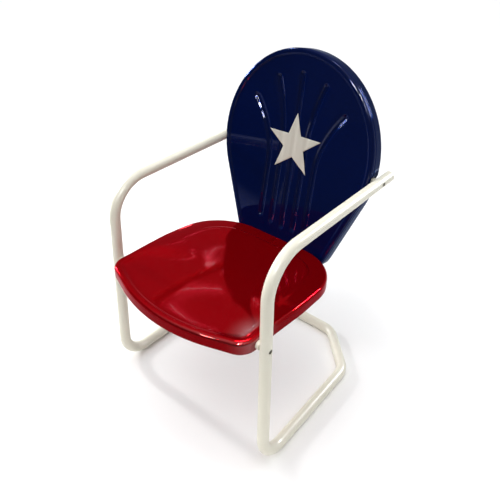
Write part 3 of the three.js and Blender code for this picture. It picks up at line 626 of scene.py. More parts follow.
def cutHoles(piece, cutters):
    for cutter in cutters:
        cut = piece.modifiers.new("cut", "BOOLEAN")
        cut.object = cutter
        cut.operation = "DIFFERENCE"
        cut.solver = "EXACT"
    edge = piece.modifiers.new("round", "BEVEL")
    edge.limit_method = "ANGLE"
    edge.angle_limit = radians(tubeLoop["roundFrom"])
    edge.width = tubeLoop["holeRound"] * mm
    edge.segments = 2
    edge.use_clamp_overlap = True
    whole = piece.data
    cutPiece = piece.evaluated_get(bpy.context.evaluated_depsgraph_get())
    piece.data = bpy.data.meshes.new_from_object(cutPiece)
    piece.modifiers.clear()
    bpy.data.meshes.remove(whole)
    for cutter in cutters:
        bpy.data.objects.remove(cutter)
    piece.data.polygons.foreach_set("use_smooth", [True] * len(piece.data.polygons))
    piece.data.set_sharp_from_angle(angle=radians(tubeLoop["sharpFrom"]))


def makeSideTube(side, sign):
    t = tubeLoop
    at = loopCorners(sign)
    corners = [at[key] for key in ("armEnd", "armFront", "foot", "heel", "seam")]
    stations = bentRoute(corners, [t["armBend"], t["footBend"], t["cornerBend"]])
    points, faces = pipe(stations, t["radius"], t["radius"] - t["wall"])
    piece = makePiece(side + "_side_tube", chairPoints(points), faces, framePaint)
    cutters = []
    for bolt in ("seat", "back"):
        spacer = nodeCentre(f"{side}_{bolt}_spacer")
        head = nodeCentre(f"{side}_{bolt}_bolt")
        centre = Vector((sign * (abs(spacer.x) + t["radius"]), spacer.y, head.z))
        cutters.append(holeCutter(centre, Vector((sign, 0, 0)), t["accessHole"]))
        cutters.append(holeCutter(centre, Vector((-sign, 0, 0)), t["boltHole"]))
    cutHoles(piece, cutters)
    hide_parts(side + "_arm_tube", side + "_foot_bend", side + "_runner")
    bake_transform(piece)


for side, sign in (("left", 1), ("right", -1)):
    makeSideTube(side, sign)
print("side tubes ready")


# the bent bar, with a swaged shoulder and a neck that slides into each side tube
def makeRearCrossbar():
    t = tubeLoop
    left, right = loopCorners(1), loopCorners(-1)
    start = towards(left["seam"], left["rear"], t["gap"])
    end = towards(right["seam"], right["rear"], t["gap"])
    stations = bentRoute([start, left["rear"], right["rear"], end], [t["cornerBend"]] * 2)
    neck = t["radius"] - t["wall"] - t["gap"]
    chamfer = t["neckChamfer"]

    def neckAndShoulder(tip, seam, out):
        rows = [(tip, out, neck - chamfer), (tip - out * chamfer, out, neck)]
        for along, drop in t["shoulder"]:
            rows.append((seam + out * along, out, neck if drop is None else t["radius"] - drop))
        return rows

    aim = (left["rear"] - left["seam"]).normalized()
    out = (right["seam"] - right["rear"]).normalized()
    line = [(place, aim, radius) for place, _, radius in neckAndShoulder(left["neckEnd"], start, -aim)]
    line += [(place, way, t["radius"]) for place, way in stations[1:-1]]
    line += neckAndShoulder(right["neckEnd"], end, out)[::-1]
    across = aim.orthogonal().normalized()
    points = []
    for place, way, radius in line:
        across = (across - way * across.dot(way)).normalized()
        points += circle(place, across, way.cross(across), radius, t["sides"])
    faces = cappedFaces(len(line), t["sides"])
    piece = makePiece("rear_crossbar_tube", chairPoints(points), faces, framePaint, sharp=40)
    settle(piece, "frame_white", "base", "rear_crossbar")


makeRearCrossbar()
print("crossbar ready")


# back panel, in its own plane: x across, y to the rear, z up the panel

recline = radians(10.74)
backPanel = dict(
    bottomHeight=308, bottomReach=378.7, bottomHalf=157, widestRise=317.6, crownRise=277,
    dish=4.5, flatRise=60, wallDepth=42, thickness=1.2, rimWidth=18, rimRise=3.6, cornerFan=16,
    sidePress=7, padReach=(11.5, 21), boltDepth=26,  # the flat pad that the arm's bolt clamps
    bandPress=2.1, bandHeight=(8, 18), bandStart=9,
)
grooves = dict(
    pitch=40, half=10, floorHalf=3, depth=4.5, gridHalf=12,
    footRise=[65, 70, 80], footInset=6, fanRise=[300, 297, 257], fanPull=[100, 102, 92],
    crownPull=[60, 72, 61], crownDegrees=[90, 65, 36.5], tipRise=[524, 503, 434], sideCrownDegrees=20,
    lowerRows=62, upperRows=66, grooveSteps=12, webSteps=5, outerSteps=24,
)
widestRise = backPanel["widestRise"]
backFlatHalf = abs(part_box("left_back_spacer")[0].x) / mm - tubeLoop["gap"]
creaseHalf = backFlatHalf + backPanel["sidePress"] - backPanel["rimWidth"]
creaseCrown = backPanel["crownRise"] - backPanel["rimWidth"]
creaseFoot = np.array([backPanel["bottomHalf"] - backPanel["rimWidth"], backPanel["rimWidth"]], float)


def fromBackPlane(points):  # to millimetres, with reach from the front foot
    p = np.array(points, float)
    reach = backPanel["bottomReach"] + p[:, 1] * cos(recline) + p[:, 2] * sin(recline)
    height = backPanel["bottomHeight"] - p[:, 1] * sin(recline) + p[:, 2] * cos(recline)
    return np.stack([p[:, 0], reach, height], axis=1)


def crownPoint(angle):
    return np.array([creaseHalf * cos(angle), widestRise + creaseCrown * sin(angle)])


def tangentAngle():
    across = creaseFoot[0] / creaseHalf
    down = (creaseFoot[1] - widestRise) / creaseCrown
    return atan2(down, across) + acos(1 / hypot(across, down))


sideTangent = crownPoint(tangentAngle())


def creaseSide(rise):
    if rise > sideTangent[1]:
        return crownPoint(asin((rise - widestRise) / creaseCrown))
    share = (rise - creaseFoot[1]) / (sideTangent[1] - creaseFoot[1])
    return creaseFoot + (sideTangent - creaseFoot) * share


# a line that runs beside a groove: straight up, then fanning out to the crown
def grooveLine(index, offset, lower, upper):
    g = grooves
    base = index * g["pitch"] + offset
    fan = g["fanRise"][index]
    straight = [(base, rise) for rise in np.linspace(creaseFoot[1], fan, lower, endpoint=False)]
    angle = radians(g["crownDegrees"][index]) - offset / creaseCrown
    end = crownPoint(angle)
    start = np.array([base, fan], float)
    lift = start + np.array([0, g["fanPull"][index]])
    pull = end - np.array([cos(angle), sin(angle)]) * g["crownPull"][index]
    t = np.linspace(0, 1, upper)[:, None]
    curve = (1 - t) ** 3 * start + 3 * (1 - t) ** 2 * t * lift + 3 * (1 - t) * t**2 * pull + t**3 * end
    return np.vstack([straight, curve])


def sideLine(lower, upper):
    fan = grooves["fanRise"][-1]
    rows = [creaseSide(rise) for rise in np.linspace(creaseFoot[1], fan, lower, endpoint=False)]
    first, last = asin((fan - widestRise) / creaseCrown), radians(grooves["sideCrownDegrees"])
    return np.array(rows + [crownPoint(angle) for angle in np.linspace(first, last, upper)])


def between(inner, outer, share, upper):  # a column whose top still lies on the crown
    column = inner * (1 - share) + outer * share
    angles = [atan2((p[1] - widestRise) / creaseCrown, p[0] / creaseHalf) for p in (inner[-1], outer[-1])]
    target = crownPoint(angles[0] * (1 - share) + angles[1] * share)
    fade = np.linspace(0, 1, upper)[:, None] ** 3
    column[-upper:] += fade * (target - column[-1])
    return column


def grooveCentres():
    lines = []
    for index in range(3):
        line = grooveLine(index, 0, 2, 120)
        start = grooves["footRise"][index] + grooves["footInset"]
        kept = line[(line[:, 1] > start) & (line[:, 1] < grooves["tipRise"][index])]
        lines.append(np.vstack([[line[0, 0], start], kept]))
    return lines


grooveMiddles = grooveCentres()


def grooveDistance(across, rise):
    p = np.stack([np.abs(across), rise], axis=1)
    nearest = np.full(len(p), np.inf)
    for line in grooveMiddles:
        for a, b in zip(line[:-1], line[1:]):
            ab = b - a
            t = np.clip((p - a) @ ab / (ab @ ab), 0, 1)
            nearest = np.minimum(nearest, np.linalg.norm(p - a - t[:, None] * ab, axis=1))
    return nearest


# how far the panel's face lies behind its rim plane: the dish and the grooves
def panelDepth(across, rise, grooved=1.0):
    b = backPanel
    across, rise = np.asarray(across, float), np.asarray(rise, float)
    upper = 1 - (across / creaseHalf) ** 2 - ((rise - widestRise) / creaseCrown) ** 2
    side = np.array([creaseSide(max(r, creaseFoot[1]))[0] if r < widestRise else creaseHalf for r in rise])
    lower = smoothStep(b["flatRise"], widestRise, rise) * (1 - (across / side) ** 2)
    dish = b["dish"] * np.maximum(0, np.where(rise > widestRise, upper, lower))
    wall = 1 - smoothStep(grooves["floorHalf"], grooves["half"], grooveDistance(across, rise))
    return dish + grooves["depth"] * wall * grooved


def panelColumns():
    g = grooves
    lower, upper = g["lowerRows"], g["upperRows"]
    columns = []
    for index in range(3):
        offsets = np.linspace(-g["gridHalf"], g["gridHalf"], g["grooveSteps"] + 1)
        group = [grooveLine(index, offset, lower, upper) for offset in offsets if index or offset >= 0]
        if columns:
            inner, web = columns[-1], g["webSteps"]
            columns += [between(inner, group[0], step / web, upper) for step in range(1, web)]
        columns += group
    inner, outer, steps = columns[-1], sideLine(lower, upper), g["outerSteps"]
    columns += [between(inner, outer, step / steps, upper) for step in range(1, steps + 1)]
    mirrored = [column * np.array([-1, 1]) for column in reversed(columns[1:])]
    return mirrored + columns


armBolt = nodeCentre("left_back_spacer")
armBoltRise = (armBolt.y - backPanel["bottomReach"]) * sin(recline)
armBoltRise += (armBolt.z - backPanel["bottomHeight"]) * cos(recline)


# turns the outward directions gradually near the bottom corners, so the rim rounds them
def fanCorners(edge, outward, reach):
    fanned = outward.copy()
    for sign in (-1, 1):
        distance = np.linalg.norm(edge - np.array([sign * creaseFoot[0], creaseFoot[1]]), axis=1)
        middle = np.array([sign * 1.0, -1.0]) / sqrt(2)
        for i in np.where(distance < reach)[0]:
            share = float(smoothStep(0, reach, distance[i]))
            way = middle * (1 - share) + outward[i] * share
            fanned[i] = way / np.linalg.norm(way)
    return fanned


def rimFolds():  # out of the crease, to the rear, share of the rim's rise
    w, deep = backPanel["rimWidth"], backPanel["wallDepth"]
    return smoothLine([
        (0.9, 0, 0.16), (2.6, 0, 0.62), (5, 0, 0.9), (8.5, 0, 1), (12, 0, 0.88), (15, 0.2, 0.6),
        (16.9, 1.3, 0.2), (w - 0.15, 3.2, 0), (w, 6, 0), (w - 0.1, 8, 0), (w - 1.2, 10.5, 0),
        (w - 0.1, 13, 0), (w, 15, 0), (w, 24, 0), (w, 33, 0), (w, deep - 2, 0),
        (w - 0.6, deep - 0.5, 0), (w - 2.2, deep, 0), (w - 5, deep, 0),
    ], 3)


def makeBackPanel():
    b = backPanel
    columns = panelColumns()
    rows, count = len(columns[0]), len(columns)
    flat = np.stack(columns, axis=1).reshape(-1, 2)
    points = list(np.stack([flat[:, 0], panelDepth(flat[:, 0], flat[:, 1]), flat[:, 1]], axis=1))
    faces = gridFaces(rows, count)
    top = (rows - 1) * count
    loop = list(range(count - 1)) + [r * count + count - 1 for r in range(rows - 1)]
    loop += [top + c for c in range(count - 1, 0, -1)] + [r * count for r in range(rows - 1, 0, -1)]
    size = len(loop)
    edge = np.array([points[i] for i in loop])[:, [0, 2]]
    outward = fanCorners(edge, unitRows(loopNormals(edge)), b["cornerFan"])
    previous = loop
    for out, rear, share in rimFolds():
        for corner, way in zip(edge, outward):
            lift = b["rimRise"] * share * min(1, max(0, 1 + way[1]))
            across, high = corner[0] + way[0] * out, corner[1] + way[1] * out
            drop = abs(high - armBoltRise)
            band = 1 - smoothStep(*b["bandHeight"], drop)
            band = b["bandPress"] * band * smoothStep(b["bandStart"], b["rimWidth"], out)
            pad = b["sidePress"] * (1 - smoothStep(*b["padReach"], hypot(rear - b["boltDepth"], drop)))
            across -= copysign(max(band, pad), across) if abs(way[0]) > 0.5 else 0
            points.append(np.array([across, rear - lift, high]))
        ring = list(range(len(points) - size, len(points)))
        for i in range(size):
            faces.append([previous[i], ring[i], ring[(i + 1) % size], previous[(i + 1) % size]])
        previous = ring
    closedPoints, closedFaces = thickSheet(points, faces, b["thickness"])
    points = chairPoints(fromBackPlane(closedPoints))
    settle(makePiece("back_panel_sheet", points, closedFaces, backPaint), "back_navy", "sprung", "back_panel")


makeBackPanel()
print("back panel ready")


# star on the back panel

starShape = dict(
    rise=319.6, radius=93, innerShare=0.391, points=5, lift=0.75, skin=0.45,
    sag=0.22,  # share of the grooves' depth that the skin follows
    edgeLift=0.5, edgeRound=0.6, borderWidth=2.2, step=2.5, firstCut=0.7,
)


def makeStar():
    s = starShape
    outline = []
    for i in range(2 * s["points"]):
        radius = s["radius"] * (s["innerShare"] if i % 2 else 1)
        angle = pi / 2 + pi * i / s["points"]
        outline.append((radius * cos(angle), 0.0, s["rise"] + radius * sin(angle)))
    sheet = bmesh.new()
    inside = sheet.faces.layers.int.new("inside")
    face = sheet.faces.new([sheet.verts.new(p) for p in outline])
    for width in (s["edgeRound"], s["borderWidth"]):
        bmesh.ops.inset_region(sheet, faces=[face], thickness=width)
    face[inside] = 1
    for axis, middle in ((0, 0), (2, s["rise"])):
        low = middle - s["radius"]
        for cut in np.arange(low + s["firstCut"], low + 2 * s["radius"], s["step"]):
            place, normal = [0, 0, 0], [0, 0, 0]
            place[axis], normal[axis] = cut, 1
            parts = sheet.verts[:] + sheet.edges[:] + sheet.faces[:]
            bmesh.ops.bisect_plane(sheet, geom=parts, plane_co=place, plane_no=normal)
    bmesh.ops.triangulate(sheet, faces=[f for f in sheet.faces if len(f.verts) > 4])
    sheet.verts.index_update()
    sheet.faces.ensure_lookup_table()
    sheet.normal_update()
    flat = np.array([v.co for v in sheet.verts])
    rim = np.array([v.is_boundary for v in sheet.verts])
    lift = np.where(rim, s["edgeLift"], s["lift"])
    flat[:, 1] = panelDepth(flat[:, 0], flat[:, 2], s["sag"]) - lift
    # the edge band, outside the inner faces, carries the star's painted highlight
    border = [1.0 - f[inside] for f in sheet.faces]
    faces = [[v.index for v in f.verts] for f in sheet.faces]
    if sheet.faces[0].normal.y > 0:
        faces = [f[::-1] for f in faces]
    sheet.free()
    points, faces = thickSheet(flat, faces, s["skin"])
    piece = makePiece("back_star_skin", chairPoints(fromBackPlane(points)), faces, starPaint, sharp=60)
    mark = piece.data.attributes.new("starHighlightBand", "FLOAT", "FACE")
    mark.data.foreach_set("value", border + [1.0] * (len(piece.data.polygons) - len(border)))
    settle(piece, "star_grey", "sprung", "back_star")


makeStar()
print("star ready")


# seat pan

seatPan = dict(
    frontReach=85, frontRadius=460, frontArcHalf=150, frontCornerRadius=47,
    flatEnd=22, flatRadius=120, bulge=7, bulgeReach=165, bulgeRadius=500, rearHalf=234, rearCornerRadius=150,
    rimFront=372, rimDrop=30, dropPower=2.2, wallHeight=31, wallTop=-7, crest=8, thickness=1.2,
    dish=8, frontDishPower=6, sideDishPower=4, centreReach=175, creaseInset=23, creaseHeight=-4.4,
    creaseRounding=14,  # outline points over which the crease's corners are eased
    widening=(-85, 170), softening=(40, 120), rollWidening=24, rollHeight=2.5,
    outlinePoints=400, dishRings=44,
    dartHalf=8, dartPower=1.3, dartDepth=4, dartLength=52, dartFade=0.35, dartEnd=2, dartStop=6,
)
seatFlatHalf = abs(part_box("left_seat_spacer")[0].x) / mm - tubeLoop["gap"]
seatRearRise = seatPan["rimFront"] - seatPan["rimDrop"] + seatPan["wallTop"] - backPanel["bottomHeight"]
seatRear = backPanel["bottomReach"] + seatRearRise * tan(recline) - tubeLoop["gap"] / cos(recline)


def rimHeight(reach):
    front = seatPan["frontReach"]
    share = np.maximum(0, (np.asarray(reach, float) + front) / (seatRear + front))
    return seatPan["rimFront"] - seatPan["rimDrop"] * share ** seatPan["dropPower"]


def roundedCorner(before, corner, after, radius):
    into = (corner - before) / np.linalg.norm(corner - before)
    out = (after - corner) / np.linalg.norm(after - corner)
    turn = acos(max(-1, min(1, float(into @ out))))
    start = corner - into * radius * tan(turn / 2)
    left = np.array([-into[1], into[0]])
    steps = max(8, int(radius * turn))
    return [arcPoint(start, into, left, radius, turn * k / steps) for k in range(steps + 1)]


def seatOutline():  # seen from above, evenly spaced, counter-clockwise from the front
    s = seatPan
    arc, radius = s["frontArcHalf"], s["frontRadius"]
    slope = asin(arc / radius)
    corner = -s["frontReach"] + radius * (1 - cos(slope)) + (seatFlatHalf - arc) * tan(slope)
    half = []
    for a in np.linspace(0, slope, 60):
        half.append(np.array([radius * sin(a), radius * (1 - cos(a)) - s["frontReach"]]))
    turns = [
        (seatFlatHalf, corner, s["frontCornerRadius"]),
        (seatFlatHalf, s["flatEnd"], s["flatRadius"]),
        (seatFlatHalf + s["bulge"], s["bulgeReach"], s["bulgeRadius"]),
        (s["rearHalf"], seatRear, s["rearCornerRadius"]),
    ]
    places = [half[-1]] + [np.array([x, y]) for x, y, _ in turns] + [np.array([0, seatRear])]
    for i, turn in enumerate(turns):
        half += roundedCorner(*places[i:i + 3], turn[2])
    half = np.array(half + places[-1:])
    run = np.r_[0, np.cumsum(np.linalg.norm(np.diff(half, axis=0), axis=1))]
    even = np.linspace(0, run[-1], s["outlinePoints"] // 2 + 1)
    right = np.stack([np.interp(even, run, half[:, k]) for k in (0, 1)], axis=1)
    outline = np.vstack([right, right[1:-1][::-1] * np.array([-1, 1])])
    normals = loopNormals(outline)
    for _ in range(2):
        normals = np.roll(normals, 1, axis=0) + 2 * normals + np.roll(normals, -1, axis=0)
    return outline, unitRows(normals)


def easedLoop(loop, reach):  # a closed line whose sharp turns are eased over some points
    offsets = np.arange(-reach, reach + 1)
    weights = np.exp(-0.5 * (offsets / (reach / 2)) ** 2)

    def ease(values):
        return sum(w * np.roll(values, o, axis=0) for o, w in zip(offsets, weights)) / weights.sum()

    turn = np.roll(loop, -reach, axis=0) - 2 * loop + np.roll(loop, reach, axis=0)
    bend = smoothStep(1.5, 5, np.linalg.norm(turn, axis=1))
    bend = np.maximum.reduce([np.roll(bend, o) for o in offsets])
    for _ in range(3):
        bend = ease(bend)
    return loop * (1 - bend[:, None]) + ease(loop) * bend[:, None]


def dartDrop(across, reach):  # the pressed channel in the middle of the rear rim
    s = seatPan
    channel = np.maximum(0, 1 - np.abs(across) / s["dartHalf"]) ** s["dartPower"]
    stop, length = seatRear - s["dartStop"], s["dartLength"]
    rear = np.where(reach > stop, smoothStep(seatRear - s["dartEnd"], stop, reach), 1)
    front = smoothStep(seatRear - length, seatRear - length * s["dartFade"], reach)
    return s["dartDepth"] * channel * front * rear


def wallAndRim():  # inset from the outline, height against the rim's crest
    wall = seatPan["wallHeight"]
    return smoothLine([
        (5, -wall), (2.6, -wall), (0.8, 0.9 - wall), (0, 3.2 - wall), (0, 6 - wall), (0, -15), (0, -9.5),
        (0.35, -6), (1.6, -2.9), (4.2, -0.8), (8, 0), (12, -0.12), (14, -0.5), (15.6, -1.1), (17.3, -2),
        (19, -2.95), (21, -3.85), (seatPan["creaseInset"], seatPan["creaseHeight"]),
    ], 3)


def makeSeatPan():
    s = seatPan
    outline, normals = seatOutline()
    crest, inner, top, roll = s["crest"], s["creaseInset"], s["wallTop"], s["rollHeight"]
    soft = smoothStep(*s["softening"], outline[:, 1])
    wide = smoothStep(*s["widening"], outline[:, 1])
    rollInset = inner + s["rollWidening"] * wide
    crease = easedLoop(outline - normals * rollInset[:, None], s["creaseRounding"])
    points = []
    for inset, height in wallAndRim():
        lean = min(0, height - top) * tan(recline) * np.maximum(0, normals[:, 1]) ** 2
        share = min(1, max(0, (inset - crest) / (inner - crest)))
        place = (outline - normals * min(inset, crest)) * (1 - share) + crease * share
        across, reach = place[:, 0], place[:, 1] + lean
        rolled = height if inset <= crest or height < top else roll * (1 - (1 - share) ** 2)
        high = rimHeight(outline[:, 1]) + height * (1 - soft) + rolled * soft
        if height > top:
            high = high - dartDrop(across, reach)
        points.append(np.stack([across, reach, high], axis=1))
    centre = np.array([0, s["centreReach"]])
    edge = s["creaseHeight"] * (1 - soft) + roll * soft
    for share in 1 - np.arange(1, s["dishRings"] + 1) / (s["dishRings"] + 1):
        across, reach = (centre * (1 - share) + crease * share).T
        deep = (1 - share ** s["frontDishPower"]) * (1 - wide) + (1 - share ** s["sideDishPower"]) ** 2 * wide
        high = rimHeight(reach) + edge - (s["dish"] + edge) * deep
        points.append(np.stack([across, reach, high - dartDrop(across, reach)], axis=1))
    count, rows = len(outline), len(points)
    faces = gridFaces(rows, count, closed=True)
    points = list(np.vstack(points))
    points.append(np.array([0, centre[1], float(rimHeight(centre[1])) - s["dish"]]))
    last = (rows - 1) * count
    faces += [[last + i, last + (i + 1) % count, len(points) - 1] for i in range(count)]
    closedPoints, closedFaces = thickSheet(points, faces, s["thickness"])
    piece = makePiece("seat_pan_sheet", chairPoints(closedPoints), closedFaces, seatPaint)
    settle(piece, "seat_red", "sprung", "seat_pan")


makeSeatPan()
print("seat pan ready")


# fasteners, spacers and caps, each turned about its own axis from outside to inside

fasteners = dict(
    boltRadius=3, headRadius=5.2, headHeight=3.8, headRound=1.2, socketHalf=2, socketDepth=2.2,
    threadPitch=1, threadDepth=0.3, shankLength=6, tip=0.05,
    washerRadius=8, washerHole=3.4, washerThickness=1.2, washerEdge=0.25, nutHalf=5, nutThickness=5,
    spacerRadius=10, spacerEdge=0.8, capStub=12, capThickness=2, capRound=1.1, capRibs=(3, 6, 9),
    joinRise=15.02, joinHeadBehind=-3.3, joinWasherBehind=-3.0, joinNutBehind=1.5, joinLength=12.8,
    sides=36,
)


# profile rows: distance along, radius, share by which the section is a hexagon
def turnPiece(name, node, origin, aim, profile, paint):
    sides = fasteners["sides"]
    side = aim.orthogonal().normalized()
    up = aim.cross(side)
    points = []
    for along, radius, hexagon in profile:
        for angle in (2 * pi * k / sides for k in range(sides)):
            wedge = (angle + pi / 6) % (pi / 3) - pi / 6
            reach = radius * (1 - hexagon + hexagon / cos(wedge))
            points.append(origin + aim * along + side * reach * cos(angle) + up * reach * sin(angle))
    rows = len(profile)
    hollow = profile[0] == profile[-1]
    faces = gridFaces(rows, sides, closed=True) if hollow else cappedFaces(rows, sides)
    piece = makePiece(name, chairPoints(points), faces, paint[0], sharp=35)
    settle(piece, paint[1], "sprung", node)


# button head with a hexagon socket, plain shank, then rolled thread down to a chamfered tail
def boltProfile(length):
    f = fasteners
    head, high, bend, half = f["headRadius"], f["headHeight"], f["headRound"], f["socketHalf"]
    shank, root, tip, floor = f["boltRadius"], f["boltRadius"] - f["threadDepth"], f["tip"], f["socketDepth"]
    rows = [(floor - high, tip, 1), (floor - high, half, 1), (0.25 - high, half, 1)]
    rows += [(-high, half + 0.25, 0.8), (-high, head - bend - 0.3, 0)]
    for a in np.linspace(pi / 2, 0, 6):
        rows.append((-high + bend * (1 - sin(a)), head - bend + bend * cos(a), 0))
    rows += [(-0.2, head, 0), (0, head - 0.2, 0), (0, shank, 0), (f["shankLength"], shank, 0)]
    at = f["shankLength"] + 0.2
    while at < length - 1.2:
        rows += [(at, root, 0), (at + f["threadPitch"] / 2, shank, 0)]
        at += f["threadPitch"]
    return rows + [(length - 0.7, root, 0), (length, shank - 0.9, 0), (length, tip, 0)]


def ringProfile(outer, bore, length, edge):
    near, flank = edge * 0.3, outer - edge
    rows = [(0, bore + edge), (0, flank), (near, outer - near), (edge, outer), (length - edge, outer)]
    rows += [(length - near, outer - near), (length, flank), (length, bore + edge)]
    rows += [(length - edge, bore), (edge, bore), rows[0]]
    return [(along, radius, 0) for along, radius in rows]


def nutProfile():
    high, half, bore = fasteners["nutThickness"], fasteners["nutHalf"], fasteners["washerHole"] - 0.3
    rows = [(0, bore, 0), (0, half - 0.3, 0), (0.5, half, 1), (high - 0.5, half, 1)]
    return rows + [(high, half - 0.3, 0), (high, bore, 0), rows[0]]


def washerProfile():
    f = fasteners
    return ringProfile(f["washerRadius"], f["washerHole"], f["washerThickness"], f["washerEdge"])


def makeSideFasteners(side, sign, bolt):
    f = fasteners
    label = f"{side}_{bolt}"
    aim = Vector((-sign, 0, 0))
    middle = nodeCentre(label + "_bolt")
    boxes = {part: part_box(f"{label}_{part}") for part in ("bolt", "spacer", "washer", "nut")}
    length = {part: (high.x - low.x) / mm for part, (low, high) in boxes.items()}
    spacer = ringProfile(f["spacerRadius"], f["washerHole"], length["spacer"], f["spacerEdge"])
    rows = [
        ("bolt", "bolt_screw", f["headHeight"], boltProfile(length["bolt"] - f["headHeight"]), zinc),
        ("spacer", "spacer_ring", 0, spacer, white),
        ("washer", "washer_disc", 0, washerProfile(), zinc),
        ("nut", "hex_nut", 0, nutProfile(), zinc),
    ]
    for part, name, inward, profile, paint in rows:
        outer = max(abs(corner.x) for corner in boxes[part]) / mm
        face = Vector((sign * outer, middle.y, middle.z)) + aim * inward
        turnPiece(f"{label}_{name}", f"{label}_{part}", face, aim, profile, paint)


def makeJoinFasteners(index):
    f = fasteners
    aim = Vector((0, cos(recline), -sin(recline)))
    across = nodeCentre(f"join_bolt_{index}").x
    face = Vector(fromBackPlane([[across, 0, f["joinRise"]]])[0])
    rows = [
        ("bolt", "screw", f["joinHeadBehind"], boltProfile(f["joinLength"])),
        ("washer", "washer_disc", f["joinWasherBehind"], washerProfile()),
        ("nut", "hex_nut", f["joinNutBehind"], nutProfile()),
    ]
    for part, name, behind, profile in rows:
        turnPiece(f"join_{name}_{index}", f"join_{part}_{index}", face + aim * behind, aim, profile, zinc)


# moulded cap: a domed cover on the tube's end and a ribbed stub inside it
def makeArmCap(side, sign):
    f, t = fasteners, tubeLoop
    at = loopCorners(sign)
    aim = (at["armEnd"] - at["armFront"]).normalized()
    stub, deep, tip = t["radius"] - t["wall"] - t["gap"], f["capStub"], f["tip"]
    high, wide, bend = f["capThickness"], t["radius"], f["capRound"]
    rows = [(-deep, tip), (-deep, stub - 0.9), (0.8 - deep, stub)]
    for rib in f["capRibs"]:
        rows += [(rib - 1 - deep, stub), (rib - 0.6 - deep, stub - 0.4)]
        rows += [(rib + 0.6 - deep, stub - 0.4), (rib + 1 - deep, stub)]
    rows += [(0.1, stub), (0.1, wide - 0.3), (0.35, wide)]
    rows += [(high - bend + bend * sin(a), wide - bend + bend * cos(a)) for a in np.linspace(0, 1.25, 6)]
    rows += [(high - 0.02, wide * 0.55), (high, tip)]
    profile = [(along, radius, 0) for along, radius in rows]
    turnPiece(f"{side}_cap_plug", f"{side}_arm_cap", at["armEnd"], aim, profile, white)


for side, sign in (("left", 1), ("right", -1)):
    makeSideFasteners(side, sign, "seat")
    makeSideFasteners(side, sign, "back")
    makeArmCap(side, sign)
for index in (1, 2, 3):
    makeJoinFasteners(index)
print("fasteners ready")


# floor and light

studio = dict(
    floorRadius=14.0, floorDrop=0.0005, floorSides=96,
    floorPale=paintColour(252, 251, 250), floorFar=paintColour(88, 88, 90),
    farAim=(0.3, -0.95), farBand=(0.72, 1.5),
    frontLight=0.13, sideLight=0.5, horizonLight=0.9, topLight=0.85, lightColour=paintColour(250, 252, 255),
    behindLean=0.3, behindBand=(-0.45, 0.5), lowBand=(0.02, 0.28), topBand=(0.4, 0.95),
    sunAim=(0.45, 0.5, -0.74), sunStrength=1.6, sunAngle=85, stripAim=(0, -0.2, 0.36),
)


# a pale disc that the paints mirror as greyer far ahead of the chair
def makeFloor():
    s = studio
    material, tree, shader = newMaterial("paleFloor")
    x, y, _ = splitVector(tree, "TexCoord", "Object")
    ahead = plus(tree, times(tree, x, s["farAim"][0]), times(tree, y, s["farAim"][1]))
    mirrored = minus(tree, 1, nodeOutput(tree, "LightPath", "Is Camera Ray"))
    far = times(tree, mapRange(tree, ahead, *s["farBand"], 0, 1), mirrored)
    tree.links.new(mixColour(tree, far, s["floorPale"], s["floorFar"]), shader.inputs["Base Color"])
    shader.inputs["Roughness"].default_value = 0.9
    shader.inputs["Specular IOR Level"].default_value = 0.0
    sides, middle = s["floorSides"], Vector((0, 0, -s["floorDrop"]))
    rim = circle(middle, Vector((1, 0, 0)), Vector((0, 1, 0)), s["floorRadius"], sides)
    makePiece("floor", rim, [list(range(sides))], material)


# soft room light: strong overhead, pale low behind the chair, dim in front of it
def makeWorld():
    s = studio
    world = bpy.data.worlds.new("studioWorld")
    bpy.context.scene.world = world
    world.use_nodes = True
    tree = world.node_tree
    background = tree.nodes["Background"].inputs
    x, y, z = splitVector(tree, "TexCoord", "Generated")
    rear = minus(tree, y, times(tree, x, s["behindLean"]))
    behind = mapRange(tree, rear, *s["behindBand"], 0, 1)
    low = times(tree, behind, mapRange(tree, z, *s["lowBand"], s["horizonLight"] - s["sideLight"], 0))
    side = times(tree, behind, s["sideLight"] - s["frontLight"])
    top = mapRange(tree, z, *s["topBand"], s["frontLight"], s["topLight"])
    total = plus(tree, plus(tree, low, side), top)
    seen = nodeOutput(tree, "LightPath", "Is Camera Ray")
    tree.links.new(mathNode(tree, "MAXIMUM", total, seen), background["Strength"])
    background["Color"].default_value = s["lightColour"]


def faceAlong(light, way):
    light.rotation_mode = "QUATERNION"
    light.rotation_quaternion = Vector(way).to_track_quat("-Z", "Y")


def makeSun():
    data = bpy.data.lights.new("softSun", "SUN")
    data.energy = studio["sunStrength"]
    data.angle = radians(studio["sunAngle"])
    light = addObject("softSun", data)
    light.visible_glossy = False
    faceAlong(light, studio["sunAim"])


def areaLight(name, place, target, size, power, colour=(1, 1, 1)):
    data = bpy.data.lights.new(name, "AREA")
    data.shape = "RECTANGLE"
    data.size, data.size_y = size
    data.energy = power
    data.color = colour
    light = addObject(name, data)
    light.location = place
    faceAlong(light, Vector(target) - Vector(place))
    return light


# a thin lit strip between two points, of a given brightness, that faces the seat
def stripLamp(name, start, end, width, glow, colour):
    start, end, seat = Vector(start), Vector(end), Vector(studio["stripAim"])
    along, length = (end - start).normalized(), (end - start).length
    power = pi * length * width * glow
    light = areaLight(name, (start + end) / 2, seat, (length, width), power, colour)
    across = (light.location - seat).normalized().cross(along).normalized()
    light.rotation_quaternion = Matrix((along, across, along.cross(across))).transposed().to_quaternion()


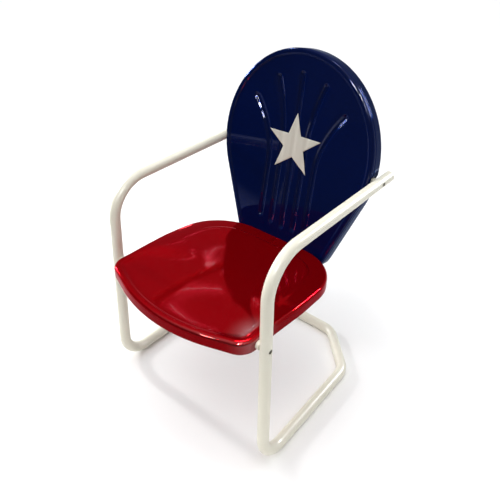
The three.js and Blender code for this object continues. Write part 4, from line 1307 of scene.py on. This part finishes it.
# name, place, target, size, watts
lamps = [
    ("leftWindow", (-2.5, -0.25, 1.5), (0, 0, 0.5), (0.15, 0.4), 25),
    ("frontLamp", (1.35, -1.65, 2.2), (0, 0, 0.5), (0.25, 0.25), 4),
    ("ceilingLamp", (0.05, -0.1, 2.6), (0, 0, 0.4), (0.3, 0.4), 8),
]
# name, place, target, size, glow: only the rims, creases and grooves mirror them
glintPanels = [
    ("leftPanel", (-2.15, -1.12, 0.48), (0, -0.2, 0.4), (0.12, 0.25), 7),
    ("cornerPanel", (-1.5, 1.11, 0.79), (0.2, -0.22, 0.37), (0.12, 0.05), 20),
    ("rearPanel", (-0.25, 0.3, 1.065), (0.21, -0.25, 0.37), (0.08, 0.06), 65),
    ("sidePanel", (1.2, 1.98, 1.65), (0.2, 0.25, 0.8), (0.25, 1.2), 140),
    ("frontPanel", (1.15, -1.8, 2.15), (0, 0, 0.5), (0.25, 0.25), 60),
    ("tipPanel", (-0.155, -1.9, 1.82), (-0.15, 0.24, 0.73), (0.2, 0.2), 100),
    ("leftTipPanel", (0.85, -1.65, 2.35), (-0.15, 0.24, 0.73), (0.2, 0.2), 330),
    ("rightTipPanel", (-2.19, -0.48, 1.2), (0.15, 0.24, 0.73), (0.26, 0.26), 330),
]
# name, start, end, width, glow, colour: the seat mirrors them as thin lines and a soft patch
strips = [
    ("rightStrip", (1.22, -1.36, 2.56), (2.42, -0.28, 2.02), 0.06, 22, (1, 1, 1)),
    ("longStrip", (-1.464, 1.07, 1.73), (-1.28, 1.326, 1.72), 0.005, 45, (0.22, 1, 1)),
    ("upperStrip", (-1.478, 1.394, 1.6), (-1.398, 1.591, 1.583), 0.005, 45, (0.22, 1, 1)),
    ("lowerStrip", (-1.478, 1.394, 1.6), (-1.362, 1.464, 1.598), 0.005, 45, (0.22, 1, 1)),
]
makeFloor()
makeWorld()
makeSun()
for lamp in lamps:
    areaLight(*lamp)
for name, place, target, size, glow in glintPanels:
    light = areaLight(name, place, target, size, pi * size[0] * size[1] * glow)
    light.visible_diffuse = False
    light.visible_camera = False
for strip in strips:
    stripLamp(*strip)
bpy.context.scene.view_settings.view_transform = "Standard"
print("studio ready")
